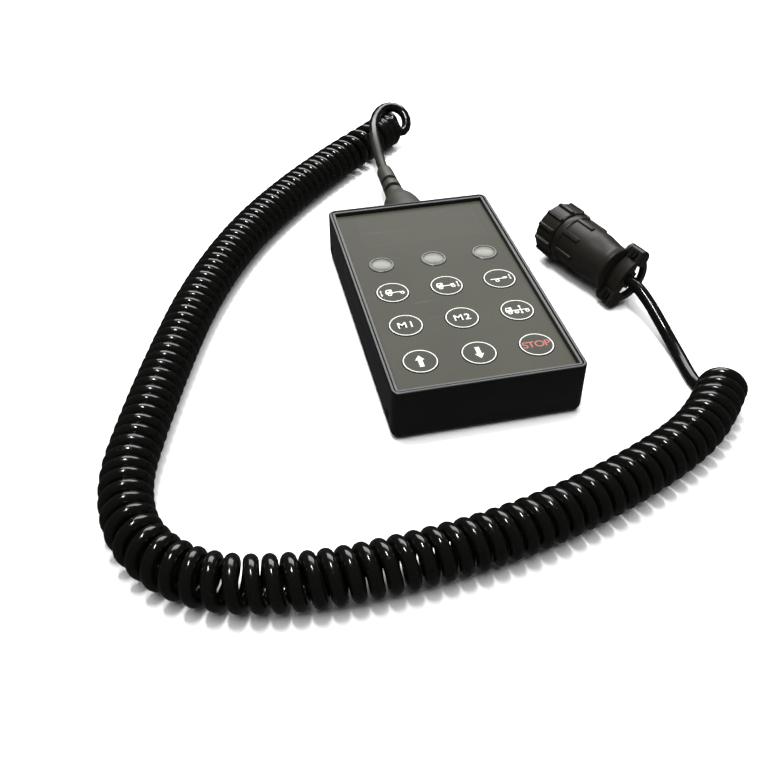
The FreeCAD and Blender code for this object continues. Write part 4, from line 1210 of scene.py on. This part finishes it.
    def make_clamp(self, nylon: bpy.types.Material) -> list[bpy.types.Object]:
        """The backshell with its ears and strap, the clamp bar and the two screws.

        Args:
            nylon: the plug's finish.

        Returns:
            The three pieces.
        """
        steel = Metal("clamp_screw_steel", (0.045, 0.043, 0.04), 0.38).make()
        made = []
        for node, name, finish, slot, ease in (
            ("plug_backshell", "backshell_with_ears", nylon, Slot.PLUG, 0.0004),
            ("clamp_bar", "cable_clamp_bar", nylon, Slot.PLUG, 0.0005),
            ("clamp_screws", "cable_clamp_screws", steel, Slot.SCREW, 0.00012),
        ):
            made.append(dress(eased_copy(node, name, ease), Body.HANDSET, finish))
        return made


# ------------------------------------------------------------------ key symbols
def disc(x: float, y: float, radius: float, steps: int = 40) -> np.ndarray:
    """A round outline."""
    angle = np.linspace(0, math.tau, steps, endpoint=False)
    return np.stack([x + radius * np.cos(angle), y + radius * np.sin(angle)], axis=-1)


def bar(left: float, low: float, right: float, high: float) -> np.ndarray:
    """A rectangular outline."""
    return np.array([(left, low), (right, low), (right, high), (left, high)])


def block_arrow(
    x: float, tail: float, tip: float, shaft: float, head: float, head_length: float
) -> np.ndarray:
    """A block arrow along Y from tail to tip.

    Args:
        x: the arrow's centre line.
        tail: the y of its tail.
        tip: the y of its tip.
        shaft: the shaft's width.
        head: the head's width.
        head_length: the head's length.

    Returns:
        The outline.
    """
    way = math.copysign(1.0, tip - tail)
    neck = tip - way * head_length
    return np.array([
        (x - shaft / 2, tail), (x - shaft / 2, neck), (x - head / 2, neck), (x, tip),
        (x + head / 2, neck), (x + shaft / 2, neck), (x + shaft / 2, tail),
    ])


def lifting_arrow(x: float, low: float, high: float) -> list[np.ndarray]:
    """A thin arrow with a head at both ends."""
    middle = (low + high) / 2
    return [block_arrow(x, middle, high, 0.35, 1.15, 1.0), block_arrow(x, middle, low, 0.35, 1.15, 1.0)]


def wheel(x: float, y: float = -1.5) -> list[list[np.ndarray]]:
    """A tyre with an open hub."""
    return [[disc(x, y, 1.0), disc(x, y, 0.5, 20)]]


def cab(x: float) -> list[list[np.ndarray]]:
    """A driver's cab seen from the side, with a window, that stands over the wheel at x."""
    shell = np.array([(x - 1.7, -1.0), (x - 1.7, 0.9), (x - 1.1, 2.3), (x + 1.4, 2.3), (x + 1.4, -1.0)])
    window = np.array([(x - 1.15, 0.7), (x - 0.75, 1.7), (x + 0.2, 1.7), (x + 0.2, 0.7)])
    return [[shell, window]]


def chassis(left: float, right: float) -> list[list[np.ndarray]]:
    """A frame rail."""
    return [[bar(left, -0.45, right, 0.1)]]


def shifted(groups: Sequence[Sequence[np.ndarray]], x: float) -> list[list[np.ndarray]]:
    """Groups of outlines moved along X."""
    return [[outline + (x, 0.0) for outline in group] for group in groups]


@dataclass(frozen=True)
class Symbol:
    """What is printed on one key: outlines in millimetres, or a few letters."""

    outlines: tuple = ()
    letters: str = ""
    height: float = 0.0
    boldness: float = 0.03
    spacing: float = 1.0
    ink: Ink = Ink.WHITE


def symbols() -> dict[str, Symbol]:
    """What each key carries.

    Returns:
        The symbols by the key's CAD node.
    """
    lorry = [*cab(-2.0), *wheel(-2.0), *chassis(-0.7, 4.6), *wheel(3.9, -1.0)]
    front = [*lifting_arrow(-5.3, -2.3, 2.3), *shifted(lorry, 0.4)]
    both = [*shifted(lorry, -1.0), [bar(2.0, 0.1, 3.6, 1.0)], *lifting_arrow(5.2, -2.2, 2.4)]
    trailer = [*chassis(-4.4, 3.6), *wheel(-1.4), [bar(1.6, 0.0, 3.6, 0.9)], *lifting_arrow(5.0, -1.6, 2.6)]
    travel = [
        *shifted(cab(-2.0), -1.6), *wheel(-3.6), *chassis(-2.2, 5.2), *wheel(4.3, -1.3), *wheel(-0.6),
        block_arrow(1.6, 0.3, 3.3, 0.5, 1.5, 1.1), block_arrow(1.6, -0.6, -3.2, 0.5, 1.5, 1.1),
    ]
    return {
        "key_front_axle": Symbol(tuple(front)),
        "key_both_axles": Symbol(tuple(both)),
        "key_rear_axle": Symbol(tuple(trailer)),
        "key_memory_one": Symbol(letters="M1", height=5.7, boldness=0.06, spacing=1.15),
        "key_memory_two": Symbol(letters="M2", height=5.7, boldness=0.06, spacing=1.15),
        "key_travel_height": Symbol(tuple(travel)),
        "key_raise": Symbol((block_arrow(0, -3.7, 3.7, 1.9, 4.0, 3.0),)),
        "key_lower": Symbol((block_arrow(0, 3.7, -3.7, 1.9, 4.0, 3.0),)),
        "key_stop": Symbol(letters="STOP", height=5.6, boldness=0.04, spacing=0.88, ink=Ink.RED),
    }


# ------------------------------------------------------------------ handset
@dataclass
class Handset:
    """The case, its keypad, keys and lamps, and what is inside."""

    ring_outer: float = 7.25
    ring_line: float = 0.46
    ink_thickness: float = 0.03
    layer: float = 0.002
    edge_shadow_thin: float = 0.14
    edge_shadow_thick: float = 0.5
    bezel_wall: float = 0.5
    bezel_step: float = 0.22
    bezel_slope: float = 0.45
    bezel_easing: float = 0.14
    lens_room: float = 0.15
    lens_seat: float = 0.2
    lens_edge: float = 0.3
    dome_power: float = 2.4

    def build(self) -> None:
        """Make and dress the whole handset."""
        inks = {ink: ink.value.make() for ink in Ink}
        self.make_case()
        self.make_keypad(inks[Ink.PAINTED_SHADOW])
        for key, symbol in symbols().items():
            self.print_key(key, symbol, inks)
        gloss = Moulded("bezel_gloss", (0.060, 0.060, 0.055), 0.28, depth=0.000003).make()
        for side in ("left", "middle", "right"):
            self.make_bezel(side, gloss)
            self.make_lens(side)
        self.dress_inside()

    def make_case(self) -> None:
        """The rear shell and the front frame, with smooth fillets, and the case screws."""
        shell = Moulded(
            "case_abs", (0.0035, 0.0045, 0.0042), 0.34, grain=0.0003, depth=0.000006, smears=0.05)
        rim = Moulded("frame_abs", (0.006, 0.007, 0.0065), 0.36, grain=0.0003, depth=0.000006)
        dress(eased_copy("rear_shell", "case_rear_shell", 0.0), Body.HANDSET, shell.make())
        dress(eased_copy("front_frame", "case_front_frame", 0.0), Body.HANDSET, rim.make())
        paint("case_screws", Metal("case_screw_steel", (0.45, 0.45, 0.46), 0.35).make())

    def make_keypad(self, dark: bpy.types.Material) -> None:
        """The keypad's film, the blank window with a painted shadow line round its edge, and the key caps,
        whose film is darkened with painted shade.

        Args:
            dark: the material of the painted shadow line round the window.
        """
        film = PrintedFilm("keypad_film", (0.043, 0.043, 0.033), 0.55).make()
        # painted shade: the key caps' film is darker than the panel's, for the shade of a slightly sunken
        # key face
        shaded_key_film = PrintedFilm("shaded_key_film", (0.034, 0.034, 0.027), 0.50).make()
        window = PrintedFilm(
            "window_film", (0.036, 0.036, 0.027), 0.46, pebble=0.0003, depth=0.000008).make()
        paint("keypad_panel", film)
        dress(eased_copy("blank_window", "window_pane", 0.00006), Body.HANDSET, window)
        low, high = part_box("blank_window")
        face = Vector(((low.x + high.x) / 2, (low.y + high.y) / 2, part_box("keypad_panel")[1].z))
        across, along = (high.x - low.x) / 2 / MM, (high.y - low.y) / 2 / MM
        # painted shadow: a dark line round the pane, wider along the top and right, for the shade at the
        # pane's edge
        thin, thick = self.edge_shadow_thin, self.edge_shadow_thick
        line = [[bar(-across - thin, -along - thin, across + thick, along + thick),
                 bar(-across, -along, across, along)]]
        dress(self.flat_print("window_outline", line, face), Body.HANDSET, dark)
        paint("panel_gasket", Moulded("gasket_rubber", (0.02, 0.02, 0.02), 0.6).make())
        for key in symbols():
            paint(key, shaded_key_film)

    def print_key(self, key: str, symbol: Symbol, inks: dict[Ink, bpy.types.Material]) -> None:
        """Print a ring and a symbol on one key, which move with it.

        Args:
            key: the key's CAD node.
            symbol: what is printed inside the ring.
            inks: the material of each ink.
        """
        low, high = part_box(key)
        top = Vector(((low.x + high.x) / 2, (low.y + high.y) / 2, high.z))
        body = f"{key}_cap"
        ring = [[disc(0, 0, self.ring_outer, 96), disc(0, 0, self.ring_outer - self.ring_line, 96)]]
        dress(self.flat_print(f"{key}_ring", ring, top), body, inks[Ink.WHITE])
        if symbol.letters:
            mark = self.letter_print(f"{key}_mark", symbol, top)
        else:
            mark = self.flat_print(f"{key}_mark", symbol.outlines, top)
        dress(mark, body, inks[symbol.ink])

    def flat_print(self, name: str, outlines: Sequence[np.ndarray], top: Vector) -> bpy.types.Object:
        """Closed outlines filled as one thin layer of ink; an outline inside another is a hole.

        Args:
            name: the piece's name.
            outlines: arrays of corners in millimetres, or groups of them that are filled one by one.
            top: the middle of the surface that is printed on.

        Returns:
            The printed piece.
        """
        groups = [[item] if isinstance(item, np.ndarray) else item for item in outlines]
        pieces = [self.fill_group(name, group) for group in groups]
        return self.set_down(name, pieces, top)

    def fill_group(self, name: str, group: Sequence[np.ndarray]) -> bpy.types.Curve:
        """One flat filled curve; an outline inside another is a hole.

        Args:
            name: the curve's name.
            group: the outlines, in millimetres.

        Returns:
            The curve.
        """
        curve = bpy.data.curves.new(name, "CURVE")
        curve.dimensions = "2D"
        curve.fill_mode = "BOTH"
        curve.extrude = self.ink_thickness * MM / 2
        for outline in group:
            spline = curve.splines.new("POLY")
            spline.points.add(len(outline) - 1)
            flat = np.c_[outline * MM, np.zeros(len(outline)), np.ones(len(outline))]
            spline.points.foreach_set("co", flat.ravel())
            spline.use_cyclic_u = True
        return curve

    def letter_print(self, name: str, symbol: Symbol, top: Vector) -> bpy.types.Object:
        """Letters filled as one thin layer of ink, centred on the key.

        Args:
            name: the piece's name.
            symbol: the letters and how they are set.
            top: the middle of the surface that is printed on.

        Returns:
            The printed piece.
        """
        text = bpy.data.curves.new(name, "FONT")
        text.body = symbol.letters
        text.size = symbol.height * MM
        text.align_x = "CENTER"
        text.align_y = "CENTER"
        text.offset = symbol.boldness * MM
        text.space_character = symbol.spacing
        text.extrude = self.ink_thickness * MM / 2
        return self.set_down(name, [text], top)

    def set_down(self, name: str, flats: Sequence[bpy.types.Curve], top: Vector) -> bpy.types.Object:
        """Make flat curves one mesh and lay it on a surface, each layer a hair above the last.

        Args:
            name: the piece's name.
            flats: the curves.
            top: the middle of the surface.

        Returns:
            The piece.
        """
        joined = bmesh.new()
        for layer, flat in enumerate(flats):
            guide = bpy.data.objects.new(name + "_guide", flat)
            bpy.context.scene.collection.objects.link(guide)
            mesh = bpy.data.meshes.new_from_object(guide)
            bpy.data.objects.remove(guide)
            mesh.transform(Matrix.Translation(top + Vector((0, 0, layer * self.layer * MM))))
            joined.from_mesh(mesh)
            bpy.data.meshes.remove(mesh)
        mesh = bpy.data.meshes.new(name)
        joined.to_mesh(mesh)
        joined.free()
        piece = bpy.data.objects.new(name, mesh)
        bpy.context.scene.collection.objects.link(piece)
        return piece

    def make_bezel(self, side: str, gloss: bpy.types.Material) -> None:
        """A bezel with a rounded rim in place of the plain CAD one.

        Args:
            side: which of the three lamps.
            gloss: the bezels' finish.
        """
        low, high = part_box(f"lamp_bezel_{side}")
        radius, outer = self.half_width(f"lamp_lens_{side}"), self.half_width(f"lamp_bezel_{side}")
        face, under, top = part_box("keypad_panel")[1].z / MM, low.z / MM, high.z / MM
        collar = radius + self.bezel_wall
        corners = [
            (under, radius), (under, collar), (face, collar), (face, outer),
            (face + self.bezel_step, outer), (top, outer - self.bezel_slope),
            (top, radius + self.lens_room), (top - self.lens_seat, radius),
        ]
        ring = [(s, r, 0.0) for s, r in rounded(corners, self.bezel_easing, 4)]
        place = self.stand(f"lamp_bezel_{side}")
        bezel = Turning(f"lamp_{side}_bezel", ring, steps=96).build(place, Lie.ALONG_Z, 50.0)
        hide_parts(f"lamp_bezel_{side}")
        dress(bezel, Body.HANDSET, gloss)

    def make_lens(self, side: str) -> None:
        """A domed lens in place of the plain CAD one.

        The dome's height falls from the peak by the dome power of the share of the radius.

        Args:
            side: which of the three lamps.
        """
        low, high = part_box(f"lamp_lens_{side}")
        radius = self.half_width(f"lamp_lens_{side}")
        edge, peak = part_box(f"lamp_bezel_{side}")[1].z / MM - self.lens_edge, high.z / MM
        share = np.linspace(0, 1, 24)
        dome = [(peak - (peak - edge) * s ** self.dome_power, radius * s, 0.0) for s in share]
        dome += [(low.z / MM, radius, 0.0), (low.z / MM, 0.0, 0.0)]
        place = self.stand(f"lamp_bezel_{side}")
        lens = Turning(f"lamp_{side}_lens", dome, steps=72).build(place, Lie.ALONG_Z, 50.0)
        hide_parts(f"lamp_lens_{side}")
        pale = LampLens(f"lens_{side}", tuple(place.translation.xy), radius * MM).make()
        dress(lens, Body.HANDSET, pale)

    @staticmethod
    def half_width(node: str) -> float:
        """Half of a CAD node's width, in millimetres."""
        low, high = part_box(node)
        return (high.x - low.x) / 2 / MM

    @staticmethod
    def stand(node: str) -> Matrix:
        """The place of an upright axis through the middle of a CAD node."""
        low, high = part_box(node)
        return Matrix.Translation(((low.x + high.x) / 2, (low.y + high.y) / 2, 0.0))

    def dress_inside(self) -> None:
        """Finishes for what the closed case hides."""
        black = Moulded("component_black", (0.03, 0.03, 0.03), 0.5).make()
        steel = Metal("small_steel", (0.6, 0.6, 0.6)).make()
        paint("circuit_board", BoardLaminate("board_mask").make())
        for node in ("board_components", "board_connector", "wire_housing"):
            paint(node, black)
        for node in ("board_screws", "inner_clamp_screws", "tactile_switches"):
            paint(node, steel)
        paint("indicator_leds", Moulded("led_resin", (0.75, 0.75, 0.7), 0.15, coat=0.5).make())
        paint("inner_cable_clamp", Moulded("clamp_nylon", (0.08, 0.08, 0.08), 0.5).make())
        low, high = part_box("wire_harness")
        paint("wire_harness", WireColours("harness_colours", low.x, high.x).make())
        paint("cable_tail", bpy.data.materials["gloss_jacket"])


def main() -> None:
    """Build the studio, then the cord with its plug, the boot and the handset."""
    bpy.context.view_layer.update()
    Studio().build()
    on_the_cord = Plug().build()
    boot = StrainRelief().build()
    CurlyCord().build([*on_the_cord, boot])
    Handset().build()


if __name__ == "__main__":
    main()
